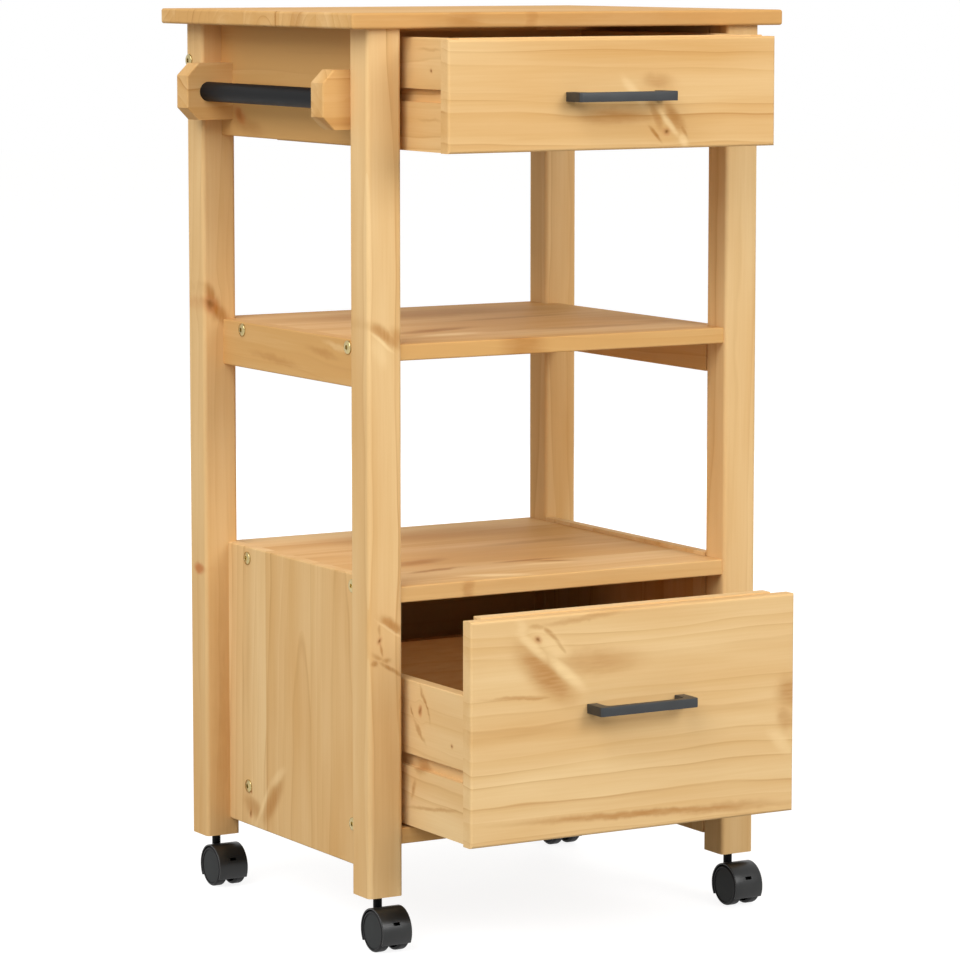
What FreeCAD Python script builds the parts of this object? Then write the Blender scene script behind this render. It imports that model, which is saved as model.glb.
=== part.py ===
"""Pine kitchen cart on casters: worktop, open shelf, two drawers and a towel rail.

Millimetres. X runs to the right as seen from the front, Y to the back and Z up.
The origin is on the floor, below the centre of the worktop.
"""
import FreeCAD, Part
import Sketcher
import os
import re
from FreeCAD import Placement, Rotation, Vector

# Driving dimensions in millimetres: alias, value, meaning
DIMENSIONS = [
    ("height", 890, "floor to the top of the worktop"),
    ("top_width", 481, "worktop, left to right"),
    ("top_depth", 399, "worktop, front to back"),
    ("top_thick", 15, "worktop thickness"),
    ("top_lip", 10.5, "worktop overhang in front of the legs"),
    ("top_round", 2.5, "rounding of the worktop's edges"),
    ("frame_width", 439, "over the outer faces of the legs"),
    ("frame_depth", 374.5, "over the front and back faces of the legs"),
    ("leg_wide", 37, "leg section along X"),
    ("leg_deep", 34.5, "leg section along Y"),
    ("leg_foot", 51.2, "height of the legs' lower ends above the floor"),
    ("leg_round", 4, "rounding of the legs' long edges"),
    ("edge_round", 1.5, "rounding of the boards' edges"),
    ("rail_thick", 15, "aprons and shelf rails"),
    ("rail_high", 45.5, "shelf rail height"),
    ("apron_high", 111, "apron height"),
    ("shelf_thick", 15.5, "shelf thickness"),
    ("shelf_recess", 3.5, "shelf edge behind the legs' front faces"),
    ("middle_level", 579.2, "top of the middle shelf"),
    ("lower_level", 348.8, "top of the lower shelf"),
    ("bottom_level", 116, "top of the bottom shelf"),
    ("panel_thick", 11, "cabinet side panels"),
    ("panel_foot", 68, "lower edge of the side panels"),
    ("panel_rise", 3.7, "side panels above the lower shelf"),
    ("rear_thick", 5, "rear panel"),
    ("rear_inset", 8.5, "rear panel in front of the legs' back faces"),
    ("rear_groove", 5, "depth of the rear panel's grooves"),
    ("bolt_shank", 6, "frame bolt shank diameter"),
    ("bolt_length", 60, "frame bolt length under the head"),
    ("bolt_head", 13.2, "frame bolt head diameter"),
    ("head_thick", 2.6, "frame bolt head thickness"),
    ("hex_socket", 4.6, "corner to corner size of the bolts' hexagon socket"),
    ("hex_deep", 2.1, "depth of the bolts' hexagon socket"),
    ("bolt_front", -111, "place along Y of the front shelf bolts"),
    ("bolt_back", 109, "place along Y of the back shelf bolts"),
    ("bolt_low", 801, "height of the lower rear apron bolts"),
    ("bolt_high", 838, "height of the upper rear apron bolts"),
    ("tenon_deep", 12, "length of the tenons in the legs"),
    ("tenon_thick", 6, "thickness of the tenons in the legs"),
    ("tenon_shoulder", 8, "shoulder above and below the tenons"),
    ("peg_wide", 18, "square tenon on top of a leg"),
    ("peg_high", 8, "height of the tenon on top of a leg"),
    ("runner_high", 11.5, "drawer runner height"),
    ("runner_deep", 13, "drawer runner depth from the leg faces"),
    ("runner_long", 329, "drawer runner length"),
    ("runner_back", 26, "front ends of the runners behind the legs' front faces"),
    ("groove_high", 12.5, "runner groove in a drawer side"),
    ("groove_deep", 6.5, "depth of the runner groove"),
    ("groove_slack", 0.3, "room above the runner in its groove"),
    ("front_width", 362, "drawer front width"),
    ("front_thick", 14, "drawer front thickness"),
    ("box_width", 350, "over the drawer sides"),
    ("box_long", 335, "drawer side length behind the front"),
    ("box_thick", 13, "drawer sides, inner front and back"),
    ("inner_rise", 1.2, "inner front above the drawer front"),
    ("housing_deep", 3, "housing of the drawer back in the sides"),
    ("floor_thick", 4, "drawer bottom"),
    ("floor_rise", 8, "drawer bottom above the lower edge of the sides"),
    ("floor_groove", 4.5, "depth of the drawer bottom's grooves"),
    ("upper_foot", 761.5, "lower edge of the upper drawer"),
    ("upper_front_high", 104.5, "upper drawer front height"),
    ("upper_side_high", 105.7, "upper drawer side height"),
    ("upper_runner", 819.4, "top of the upper runners"),
    ("upper_open", 85, "upper drawer front face ahead of the legs"),
    ("upper_handle", 812, "height of the upper handle"),
    ("lower_foot", 118.6, "lower edge of the lower drawer"),
    ("lower_front_high", 213, "lower drawer front height"),
    ("lower_side_high", 140.8, "lower drawer side height"),
    ("lower_runner", 188, "top of the lower runners"),
    ("lower_open", 125.4, "lower drawer front face ahead of the legs"),
    ("lower_handle", 240, "height of the lower handle"),
    ("handle_long", 109, "bar handle length"),
    ("handle_deep", 26, "bar handle depth"),
    ("handle_high", 9, "bar handle height"),
    ("handle_bar", 7, "bar handle thickness"),
    ("handle_post", 11, "bar handle post width"),
    ("handle_bend", 4.9, "outer corner radius of the bar handles"),
    ("handle_hollow", 2.8, "inner corner radius of the bar handles"),
    ("handle_pitch", 96, "distance between the handle screws"),
    ("pin_wide", 4, "handle screw diameter"),
    ("pin_long", 35.5, "handle screw length"),
    ("pin_head", 8, "handle screw head diameter"),
    ("pin_cap", 2.4, "handle screw head thickness"),
    ("bracket_long", 50, "towel bracket length from the apron"),
    ("bracket_high", 56, "towel bracket height"),
    ("bracket_thick", 24, "towel bracket thickness"),
    ("bracket_cut", 12, "chamfer of the towel brackets"),
    ("bracket_foot", 780.5, "lower edge of the towel brackets"),
    ("bracket_tenon", 10, "depth of the brackets' tenons in the apron"),
    ("rod_wide", 19.4, "towel rod diameter"),
    ("rod_wall", 1.2, "wall of the towel rod's tube"),
    ("rod_out", 23.5, "towel rod axis from the bracket's outer end"),
    ("rod_seat", 14, "depth of the towel rod's seats"),
    ("wheel_wide", 40, "caster wheel diameter"),
    ("wheel_thick", 10.6, "caster wheel width"),
    ("wheel_gap", 10.4, "distance between the wheels of a caster"),
    ("wheel_wall", 2.6, "wall thickness of a wheel"),
    ("tread_cut", 1, "chamfer of the tread's outer edge"),
    ("rim_wide", 4, "raised ring on a wheel's outer face"),
    ("disc_sink", 0.6, "wheel disc behind the raised ring"),
    ("hub_wall", 2, "wall of a wheel's hub"),
    ("hood_room", 0.8, "room between wheel and hood"),
    ("hood_thick", 1.6, "hood wall thickness"),
    ("hood_web", 9.4, "hood web between the wheels"),
    ("hood_back", 33, "degrees that the hood reaches below the axle at the back"),
    ("hood_front", 29, "degrees that the hood reaches below the axle in front"),
    ("slot_wide", 7, "slot in the hood's front"),
    ("slot_high", 3, "slot height"),
    ("slot_rise", 8, "slot above the axle"),
    ("slot_deep", 4, "slot depth from the hood's foremost point"),
    ("trail", 17.3, "caster axle ahead of the stem"),
    ("axle_wide", 5, "caster axle diameter"),
    ("axle_long", 28, "caster axle length"),
    ("axle_room", 0.2, "room between axle end and wheel disc"),
    ("stem_wide", 8.6, "caster stem diameter"),
    ("stem_seat", 34, "height where the stem's shoulder sits in the hood"),
    ("stem_spigot", 6, "diameter of the stem's lower end"),
    ("stem_reach", 34, "length of the stem inside the leg"),
    ("socket_wide", 11.4, "caster socket outer diameter"),
    ("socket_long", 36, "caster socket length"),
    ("fit_slack", 0.05, "radial room of turning and pressed pins"),
]

doc = FreeCAD.newDocument("kitchen_cart")
sheet = doc.addObject("Spreadsheet::Sheet", "Sizes")
ALIASES = set()
for row, (alias, number, meaning) in enumerate(DIMENSIONS, start=1):
    sheet.set(f"A{row}", meaning)
    sheet.set(f"B{row}", str(number))
    sheet.setAlias(f"B{row}", alias)
    ALIASES.add(alias)
doc.recompute()

# Places that follow from the driving dimensions, as formulas
LEG_OUT = "(frame_width / 2)"
LEG_IN = "(frame_width / 2 - leg_wide)"
LEGS_FRONT = "(top_lip - top_depth / 2)"
LEGS_BACK = "(top_lip - top_depth / 2 + frame_depth)"
BAY_FRONT = "(top_lip - top_depth / 2 + leg_deep)"
BAY_BACK = "(top_lip - top_depth / 2 + frame_depth - leg_deep)"
TOP_UNDER = "(height - top_thick)"
SHELF_FRONT = "(top_lip - top_depth / 2 + shelf_recess)"
INNER_WIDTH = "(frame_width - 2 * leg_wide)"
BAY_LENGTH = "(frame_depth - 2 * leg_deep)"
SHELF_DEPTH = "(frame_depth - shelf_recess)"

AXES = {"X": Rotation(Vector(0, 1, 0), 90), "Y": Rotation(Vector(1, 0, 0), -90), "Z": Rotation()}
SIDES = {"left": (0, -1), "right": (0, 1), "front": (1, -1), "back": (1, 1), "bottom": (2, -1), "top": (2, 1)}
nodes = {}


def formula(text):
    """Point each alias in the text at its cell."""
    return re.sub(r"[a-z_]+", lambda word: "Sizes." + word[0] if word[0] in ALIASES else word[0], text)


def value(text):
    """Number that a formula gives now."""
    return float(sheet.evalExpression(formula(text)))


def bind(item, **properties):
    for name, text in properties.items():
        item.setExpression(name, formula(text))


def move_to(item, x, y, z):
    for axis, text in zip("xyz", (x, y, z)):
        item.setExpression("Placement.Base." + axis, formula(text))


def add_node(label, item):
    item.Label = label
    nodes[label] = item
    return item


def block(name, size, corner):
    """Box with formulas for its size and its lowest corner."""
    box = doc.addObject("Part::Box", name)
    bind(box, Length=size[0], Width=size[1], Height=size[2])
    move_to(box, *corner)
    return box


def drill(name, axis, start, diameter, depth):
    """Cylinder from a start point along the positive axis."""
    hole = doc.addObject("Part::Cylinder", name)
    hole.Placement = Placement(Vector(), AXES[axis])
    bind(hole, Radius=f"({diameter}) / 2", Height=depth)
    move_to(hole, *start)
    return hole


def edge_numbers(shape, pairs):
    """Numbers of the box edges that lie on both sides of each named pair."""
    box = shape.BoundBox
    low = (box.XMin, box.YMin, box.ZMin)
    high = (box.XMax, box.YMax, box.ZMax)
    found = []
    for number, edge in enumerate(shape.Edges, start=1):
        middle = edge.CenterOfMass
        for pair in pairs:
            places = [SIDES[side] for side in pair.split()]
            if all(abs(middle[axis] - (high if sign > 0 else low)[axis]) < 1e-6 for axis, sign in places):
                found.append(number)
    return found


def rounded(base, radius, pairs):
    """Round the named edges of a box."""
    doc.recompute()
    size = value(radius)
    fillet = doc.addObject("Part::Fillet", base.Name + "_rounded")
    fillet.Base = base
    fillet.Edges = [(number, size, size) for number in edge_numbers(base.Shape, pairs)]
    return fillet


def without(name, base, tools):
    """Take the tools out of the base."""
    tool = tools[0]
    if len(tools) > 1:
        tool = doc.addObject("Part::MultiFuse", name + "_tools")
        tool.Shapes = tools
    cut = doc.addObject("Part::Cut", name)
    cut.Base = base
    cut.Tool = tool
    return cut


def joined(name, base, tool):
    fuse = doc.addObject("Part::Fuse", name)
    fuse.Base = base
    fuse.Tool = tool
    return fuse


def carve(label, base, tools):
    """Take the tools out of the base and keep the result as a node."""
    return add_node(label, without(label, base, tools))


def plane(body, role):
    return next(item for item in body.Origin.OriginFeatures if item.Role == role)


def new_sketch(body, name, role):
    sketch = body.newObject("Sketcher::SketchObject", name)
    sketch.AttachmentSupport = [(plane(body, role), "")]
    sketch.MapMode = "FlatFace"
    return sketch


def place_point(sketch, line, end, x, y):
    """Fix one end of a line at formulas for x and y."""
    for kind, text, axis in (("DistanceX", x, -2), ("DistanceY", y, -1)):
        number = value(text)
        if abs(number) < 1e-9:
            sketch.addConstraint(Sketcher.Constraint("PointOnObject", line, end, axis))
            continue
        index = sketch.addConstraint(Sketcher.Constraint(kind, -1, 1, line, end, number))
        sketch.setExpression(f"Constraints[{index}]", formula(text))


def draw_outline(sketch, points):
    """Closed outline of straight lines through points given as formulas."""
    corners = [Vector(value(x), value(y), 0) for x, y in points]
    count = len(corners)
    for index in range(count):
        sketch.addGeometry(Part.LineSegment(corners[index], corners[(index + 1) % count]), False)
    for index in range(count):
        sketch.addConstraint(Sketcher.Constraint("Coincident", index, 2, (index + 1) % count, 1))
    for index, (x, y) in enumerate(points):
        place_point(sketch, index, 1, x, y)


def draw_circle(sketch, x, y, radius):
    shape = Part.Circle(Vector(value(x), value(y), 0), Vector(0, 0, 1), value(radius))
    circle = sketch.addGeometry(shape, False)
    index = sketch.addConstraint(Sketcher.Constraint("Radius", circle, value(radius)))
    sketch.setExpression(f"Constraints[{index}]", formula(radius))
    place_point(sketch, circle, 3, x, y)


def turned(name, points):
    """Body turned about its own Z axis from (radius, height) points."""
    body = doc.addObject("PartDesign::Body", name)
    sketch = new_sketch(body, name + "_outline", "XZ_Plane")
    draw_outline(sketch, points)
    turning = body.newObject("PartDesign::Revolution", name + "_turning")
    turning.Profile = sketch
    turning.ReferenceAxis = (sketch, ["V_Axis"])
    turning.Angle = 360
    return body


def extruded(name, role, points, length):
    """Body padded evenly to both sides of an origin plane."""
    body = doc.addObject("PartDesign::Body", name)
    sketch = new_sketch(body, name + "_outline", role)
    draw_outline(sketch, points)
    pad = body.newObject("PartDesign::Pad", name + "_pad")
    pad.Profile = sketch
    pad.Midplane = True
    bind(pad, Length=length)
    return body


def soften(body, name, radius, test):
    """Round the body's edges that the test picks."""
    doc.recompute()
    base = body.Tip
    picked = [f"Edge{number}" for number, edge in enumerate(base.Shape.Edges, start=1) if test(edge)]
    fillet = body.newObject("PartDesign::Fillet", name)
    fillet.Base = (base, picked)
    bind(fillet, Radius=radius)
    return fillet


def group(label, pattern, placements):
    """One node of equal fasteners, each a copy of the pattern body."""
    doc.recompute()
    copies = []
    for place in placements:
        copy = pattern.Shape.copy()
        copy.Placement = place
        copies.append(copy)
    item = doc.addObject("Part::Feature", label)
    item.Shape = Part.makeCompound(copies)
    return add_node(label, item)


def at(x, y, z, rotation=Rotation()):
    return Placement(Vector(value(x), value(y), value(z)), rotation)


# Where the frame is bolted and tenoned together
LEVELS = {"middle_shelf": "middle_level", "lower_shelf": "lower_level", "bottom_shelf": "bottom_level"}
SHELF_BOARDS = {"middle_shelf": "rail_thick", "lower_shelf": "panel_thick", "bottom_shelf": "panel_thick"}
SHELF_BOLTS = ("bolt_front", "bolt_back")
APRON_BOLTS = ("bolt_low", "bolt_high")
HANDLE_SCREWS = ("-handle_pitch / 2", "handle_pitch / 2")
REAR_BOLT_LINE = f"{LEGS_BACK} - rail_thick / 2"
RUNNER_TOPS = {"upper_runners": "upper_runner", "lower_runners": "lower_runner"}
BRACKETS = {"front_towel_bracket": f"({BAY_FRONT} + bracket_thick / 2)",
            "rear_towel_bracket": f"({BAY_BACK} - bracket_thick / 2)"}
# Boards between a front and a rear leg: thickness, lower edge, height and rounded outer edges
SIDE_BOARDS = {
    "apron": ("rail_thick", f"({TOP_UNDER} - apron_high)", "apron_high", ("bottom",)),
    "shelf_rail": ("rail_thick", "(middle_level - rail_high)", "rail_high", ("top", "bottom")),
    "side_panel": ("panel_thick", "panel_foot", "(lower_level + panel_rise - panel_foot)", ("top", "bottom")),
}
SHELVES_ON = {"apron": (), "shelf_rail": ("middle_shelf",), "side_panel": ("lower_shelf", "bottom_shelf")}


def shelf_bolt_level(shelf):
    return f"({LEVELS[shelf]} - shelf_thick / 2)"


def bolt_hole(name, start, depth):
    return drill(name, "X", start, "bolt_shank + 2 * fit_slack", depth)


def leg_middle(end, side):
    """Places along X and Y of a leg's axis."""
    sign = "-" if side == "left" else ""
    y = f"({LEGS_FRONT} + leg_deep / 2)" if end == "front" else f"({LEGS_BACK} - leg_deep / 2)"
    return f"{sign}({LEG_OUT} - leg_wide / 2)", y


def leg_peg(name, end, side):
    """Square tenon on top of a leg."""
    x, y = leg_middle(end, side)
    corner = (f"{x} - peg_wide / 2", f"{y} - peg_wide / 2", TOP_UNDER)
    return block(name, ("peg_wide", "peg_wide", "peg_high"), corner)


def make_worktop():
    board = block("top_blank", ("top_width", "top_depth", "top_thick"),
                  ("-top_width / 2", "-top_depth / 2", TOP_UNDER))
    edges = [side + " " + face for side in ("left", "right", "front", "back") for face in ("top", "bottom")]
    edges += [end + " " + side for end in ("front", "back") for side in ("left", "right")]
    mortises = []
    for end in ("front", "rear"):
        for side in ("left", "right"):
            mortises.append(leg_peg(f"top_{end}_{side}_mortise", end, side))
    carve("tabletop", rounded(board, "top_round", edges), mortises)


def make_legs():
    for end in ("front", "rear"):
        for side in ("left", "right"):
            make_leg(end, side)


def make_leg(end, side):
    name = f"{end}_{side}_leg"
    corner_x = f"-{LEG_OUT}" if side == "left" else LEG_IN
    corner_y = LEGS_FRONT if end == "front" else BAY_BACK
    post = block(name + "_blank", ("leg_wide", "leg_deep", f"{TOP_UNDER} - leg_foot"),
                 (corner_x, corner_y, "leg_foot"))
    smooth = rounded(post, "leg_round", ("front left", "front right", "back left", "back right"))
    pegged = joined(name + "_pegged", smooth, leg_peg(name + "_peg", end, side))
    x, y = leg_middle(end, side)
    tools = [drill(name + "_socket_hole", "Z", (x, y, "leg_foot"), "socket_wide", "socket_long")]
    mortise_y = f"{BAY_FRONT} - tenon_deep" if end == "front" else BAY_BACK
    for kind in SIDE_BOARDS:
        tools.append(board_tenon(f"{name}_{kind}_mortise", side, kind, mortise_y, "tenon_deep"))
    if end == "rear":
        for number, level in enumerate(APRON_BOLTS):
            start = (corner_x, REAR_BOLT_LINE, level)
            tools.append(bolt_hole(f"{name}_bolt_hole_{number}", start, "leg_wide"))
    carve(name, pegged, tools)


def board_tenon(name, side, kind, y, length):
    """Tenon in the middle of a side board's thickness, or the mortise for it."""
    thick, foot, high, edges = SIDE_BOARDS[kind]
    sign = "-" if side == "left" else ""
    return block(name, ("tenon_thick", length, f"{high} - 2 * tenon_shoulder"),
                 (f"{sign}({LEG_IN} + {thick} / 2) - tenon_thick / 2", y, f"{foot} + tenon_shoulder"))


def make_side_boards():
    for side in ("left", "right"):
        for kind in SIDE_BOARDS:
            make_side_board(side, kind)


def make_side_board(side, kind):
    """Board tenoned between a front and a rear leg, its inner face level with theirs."""
    name = f"{side}_{kind}"
    thick, foot, high, edges = SIDE_BOARDS[kind]
    corner_x = f"-{LEG_IN} - {thick}" if side == "left" else LEG_IN
    board = block(name + "_blank", (thick, BAY_LENGTH, high), (corner_x, BAY_FRONT, foot))
    smooth = rounded(board, "edge_round", [side + " " + edge for edge in edges])
    tenon = board_tenon(name + "_tenon", side, kind, f"{BAY_FRONT} - tenon_deep",
                        f"{BAY_LENGTH} + 2 * tenon_deep")
    tools = []
    for shelf in SHELVES_ON[kind]:
        for number, y in enumerate(SHELF_BOLTS):
            start = (corner_x, y, shelf_bolt_level(shelf))
            tools.append(bolt_hole(f"{name}_{shelf}_hole_{number}", start, thick))
    if name == "left_apron":
        tools += [bracket_tenon(bracket + "_mortise", middle) for bracket, middle in BRACKETS.items()]
    whole = joined(name + "_tenoned", smooth, tenon)
    if tools:
        carve(name, whole, tools)
    else:
        add_node(name, whole)


def bracket_tenon(name, middle):
    """Tenon of a towel bracket in the left apron, or the mortise for it."""
    corner = (f"-{LEG_IN} - rail_thick", f"{middle} - bracket_thick / 4", "bracket_foot + bracket_high / 4")
    return block(name, ("bracket_tenon", "bracket_thick / 2", "bracket_high / 2"), corner)


def make_rear_boards():
    apron = block("rear_apron_blank", (INNER_WIDTH, "rail_thick", "apron_high"),
                  (f"-{LEG_IN}", f"{LEGS_BACK} - rail_thick", f"{TOP_UNDER} - apron_high"))
    tools = []
    for number, level in enumerate(APRON_BOLTS):
        tools += end_bolt_holes(f"rear_apron_{number}", REAR_BOLT_LINE, level, "leg_wide")
    carve("rear_apron", rounded(apron, "edge_round", ("front bottom", "back bottom")), tools)
    panel = block("rear_panel", (INNER_WIDTH, "rear_thick",
                                 "lower_level - shelf_thick - bottom_level + 2 * rear_groove"),
                  (f"-{LEG_IN}", f"{LEGS_BACK} - rear_inset - rear_thick", "bottom_level - rear_groove"))
    add_node("rear_panel", panel)


def end_bolt_holes(name, y, level, outer):
    """Holes in both ends of a board for bolts that first pass an outer board."""
    reach = f"(bolt_length - {outer})"
    return [bolt_hole(name + "_left_hole", (f"-{LEG_IN}", y, level), reach),
            bolt_hole(name + "_right_hole", (f"{LEG_IN} - {reach}", y, level), reach)]


def make_shelves():
    groove_feet = {"lower_shelf": "lower_level - shelf_thick", "bottom_shelf": "bottom_level - rear_groove"}
    for name, level in LEVELS.items():
        board = block(name + "_blank", (INNER_WIDTH, SHELF_DEPTH, "shelf_thick"),
                      (f"-{LEG_IN}", SHELF_FRONT, f"{level} - shelf_thick"))
        smooth = rounded(board, "edge_round", ("front top", "front bottom", "back top", "back bottom"))
        tools = []
        for number, y in enumerate(SHELF_BOLTS):
            tools += end_bolt_holes(f"{name}_{number}", y, shelf_bolt_level(name), SHELF_BOARDS[name])
        if name in groove_feet:
            tools.append(block(name + "_groove", (INNER_WIDTH, "rear_thick", "rear_groove"),
                               (f"-{LEG_IN}", f"{LEGS_BACK} - rear_inset - rear_thick", groove_feet[name])))
        carve(name, smooth, tools)


def make_runners():
    for label, level in RUNNER_TOPS.items():
        strips = []
        for side in ("left", "right"):
            corner_x = f"-{LEG_IN}" if side == "left" else f"{LEG_IN} - runner_deep"
            strips.append(block(f"{label}_{side}", ("runner_deep", "runner_long", "runner_high"),
                                (corner_x, f"{LEGS_FRONT} + runner_back", f"{level} - runner_high")))
        pair = doc.addObject("Part::Compound", label)
        pair.Links = strips
        add_node(label, pair)


def make_towel_rail():
    outer_end = f"({LEG_IN} + rail_thick + bracket_long)"
    rod_height = "(bracket_foot + bracket_high / 2)"
    rod_start = f"({BAY_FRONT} + bracket_thick - rod_seat)"
    rod_end = f"({BAY_BACK} - bracket_thick + rod_seat)"
    rod_long = f"({rod_end} - {rod_start})"
    outline = [("0", "0"), ("bracket_long - bracket_cut", "0"), ("bracket_long", "bracket_cut"),
               ("bracket_long", "bracket_high - bracket_cut"), ("bracket_long - bracket_cut", "bracket_high"),
               ("0", "bracket_high")]
    for label, middle in BRACKETS.items():
        body = extruded(label + "_block", "XZ_Plane", outline, "bracket_thick")
        body.Placement = Placement(Vector(), Rotation(Vector(0, 0, 1), 180))
        move_to(body, f"-{LEG_IN} - rail_thick", middle, "bracket_foot")
        soften(body, label + "_edges", "edge_round", is_bracket_edge)
        tenoned = joined(label + "_tenoned", body, bracket_tenon(label + "_tenon", middle))
        seat = drill(label + "_seat", "Y", (f"rod_out - {outer_end}", rod_start, rod_height),
                     "rod_wide + 2 * fit_slack", rod_long)
        carve(label, tenoned, [seat])
    bore = "(rod_wide / 2 - rod_wall)"
    rod = turned("towel_rod", [
        (bore, "0"), ("rod_wide / 2", "0"), ("rod_wide / 2", rod_long), (bore, rod_long)])
    rod.Placement = Placement(Vector(), AXES["Y"])
    move_to(rod, f"rod_out - {outer_end}", rod_start, rod_height)
    add_node("towel_rod", rod)


def is_bracket_edge(edge):
    """Edges round the bracket's outer end, away from the apron and the leg."""
    middle = edge.CenterOfMass
    runs_across = edge.BoundBox.YLength > 1
    return middle.x > value("bracket_long - bracket_cut") - 1e-6 and not runs_across


def make_bolts():
    """Connector bolts with hexagon sockets, driven into the ends of the shelves and the rear apron."""
    head_top = "bolt_length + head_thick"
    bolt = turned("bolt_pattern", [
        ("0", "0"), ("bolt_shank / 2", "0"), ("bolt_shank / 2", "bolt_length"),
        ("bolt_head / 2", "bolt_length"), ("bolt_head / 2", head_top), ("0", head_top)])
    socket = new_sketch(bolt, "bolt_socket_outline", "XY_Plane")
    socket.setExpression("AttachmentOffset.Base.z", formula(head_top))
    reach = "hex_socket / 2"
    turns = range(0, 360, 60)
    draw_outline(socket, [(f"{reach} * cos({turn} deg)", f"{reach} * sin({turn} deg)") for turn in turns])
    pocket = bolt.newObject("PartDesign::Pocket", "bolt_socket")
    pocket.Profile = socket
    bind(pocket, Length="hex_deep")
    lines = [(SHELF_BOARDS[shelf], y, shelf_bolt_level(shelf)) for shelf in LEVELS for y in SHELF_BOLTS]
    lines += [("leg_wide", REAR_BOLT_LINE, level) for level in APRON_BOLTS]
    places = []
    for outer, y, level in lines:
        shank_end = f"({LEG_IN} + {outer} - bolt_length)"
        places.append(at(f"-{shank_end}", y, level, Rotation(Vector(0, 1, 0), -90)))
        places.append(at(shank_end, y, level, AXES["X"]))
    group("frame_bolts", bolt, places)


def handle_holes(board, y, level, depth):
    """Holes for the two screws of a bar handle."""
    return [drill(f"{board}_handle_hole_{number}", "Y", (x, y, level), "pin_wide + 2 * fit_slack", depth)
            for number, x in enumerate(HANDLE_SCREWS)]


def make_drawer(name):
    """Grooved drawer box behind a wider front board with a bar handle."""
    foot = name + "_foot"
    handle = name + "_handle"
    side_high = name + "_side_high"
    front_face = f"({LEGS_FRONT} - {name}_open)"
    box_front = f"({front_face} + front_thick)"
    inside = f"({box_front} + box_thick)"
    back_y = f"({box_front} + box_long - 2 * box_thick)"
    floor = f"({foot} + floor_rise)"
    floor_top = f"({floor} + floor_thick)"
    box_inner = "(box_width / 2 - box_thick)"
    groove_foot = f"{name}_runner + groove_slack - groove_high"
    floor_front = f"{inside} - floor_groove"

    front = block(name + "_front_blank", ("front_width", "front_thick", name + "_front_high"),
                  ("-front_width / 2", front_face, foot))
    edges = ["front " + side for side in ("left", "right", "top", "bottom")]
    holes = handle_holes(name + "_front", front_face, handle, "front_thick")
    carve(name + "_drawer_front", rounded(front, "top_round", edges), holes)

    label = name + "_drawer_inner_front"
    inner = block(label + "_blank", (f"2 * {box_inner}", "box_thick", f"{name}_front_high + inner_rise"),
                  (f"-{box_inner}", box_front, foot))
    tools = handle_holes(label, box_front, handle, "box_thick")
    tools.append(block(label + "_groove", (f"2 * {box_inner}", "floor_groove", "floor_thick"),
                       (f"-{box_inner}", floor_front, floor)))
    carve(label, inner, tools)

    for side in ("left", "right"):
        left = side == "left"
        corner_x = "-box_width / 2" if left else box_inner
        outer_x = "-box_width / 2" if left else "box_width / 2 - groove_deep"
        floor_x = f"-{box_inner} - floor_groove" if left else box_inner
        housing_x = f"-{box_inner} - housing_deep" if left else box_inner
        label = f"{name}_drawer_{side}_side"
        board = block(label + "_blank", ("box_thick", "box_long", side_high), (corner_x, box_front, foot))
        tools = [block(label + "_runner_groove", ("groove_deep", "box_long", "groove_high"),
                       (outer_x, box_front, groove_foot)),
                 block(label + "_floor_groove", ("floor_groove", "box_long", "floor_thick"),
                       (floor_x, floor_front, floor)),
                 block(label + "_housing", ("housing_deep", "box_thick", side_high),
                       (housing_x, back_y, floor_top))]
        carve(label, rounded(board, "edge_round", ("left top", "right top")), tools)

    back = block(name + "_drawer_back", (f"2 * ({box_inner} + housing_deep)", "box_thick",
                                         f"{side_high} - floor_rise - floor_thick"),
                 (f"-{box_inner} - housing_deep", back_y, floor_top))
    add_node(name + "_drawer_back", back)
    floor_long = "box_long - 2 * box_thick + floor_groove"
    floor_size = (f"2 * ({box_inner} + floor_groove)", floor_long, "floor_thick")
    bottom = block(name + "_drawer_bottom", floor_size, (f"-{box_inner} - floor_groove", floor_front, floor))
    add_node(name + "_drawer_bottom", bottom)
    make_handle(handle, front_face, f"({inside} - pin_long)")


def make_handle(label, front_face, screw_start):
    """Bent bar with two posts, held by screws from inside the drawer."""
    half = "handle_long / 2"
    inner = "(handle_long / 2 - handle_post)"
    bar = "handle_bar - handle_deep"
    outline = [(f"-{half}", "0"), (f"-{half}", "-handle_deep"), (half, "-handle_deep"), (half, "0"),
               (inner, "0"), (inner, bar), (f"-{inner}", bar), (f"-{inner}", "0")]
    body = extruded(label + "_bar", "XY_Plane", outline, "handle_high")
    for radius, place in (("handle_bend", value(half)), ("handle_hollow", value(inner))):
        soften(body, f"{label}_{radius}", radius,
               lambda edge: edge.BoundBox.ZLength > 1 and edge.CenterOfMass.y < -1
               and abs(abs(edge.CenterOfMass.x) - place) < 1)
    move_to(body, "0", front_face, label)
    carve(label, body, handle_holes(label, screw_start, label, f"{front_face} - {screw_start}"))
    screw = turned(label + "_screw_pattern", [
        ("0", "0"), ("pin_wide / 2", "0"), ("pin_wide / 2", "pin_long"), ("pin_head / 2", "pin_long"),
        ("pin_head / 2", "pin_long + pin_cap"), ("0", "pin_long + pin_cap")])
    group(label + "_screws", screw, [at(x, screw_start, label, AXES["Y"]) for x in HANDLE_SCREWS])


def make_casters():
    sockets = turned("socket_pattern", [
        ("stem_wide / 2 + fit_slack", "0"), ("socket_wide / 2", "0"), ("socket_wide / 2", "socket_long"),
        ("stem_wide / 2 + fit_slack", "socket_long")])
    places = []
    for end in ("front", "rear"):
        for side in ("left", "right"):
            x, y = leg_middle(end, side)
            places.append(at(x, y, "leg_foot"))
            make_caster(f"{end}_{side}_caster", x, y)
    group("caster_sockets", sockets, places)


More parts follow.
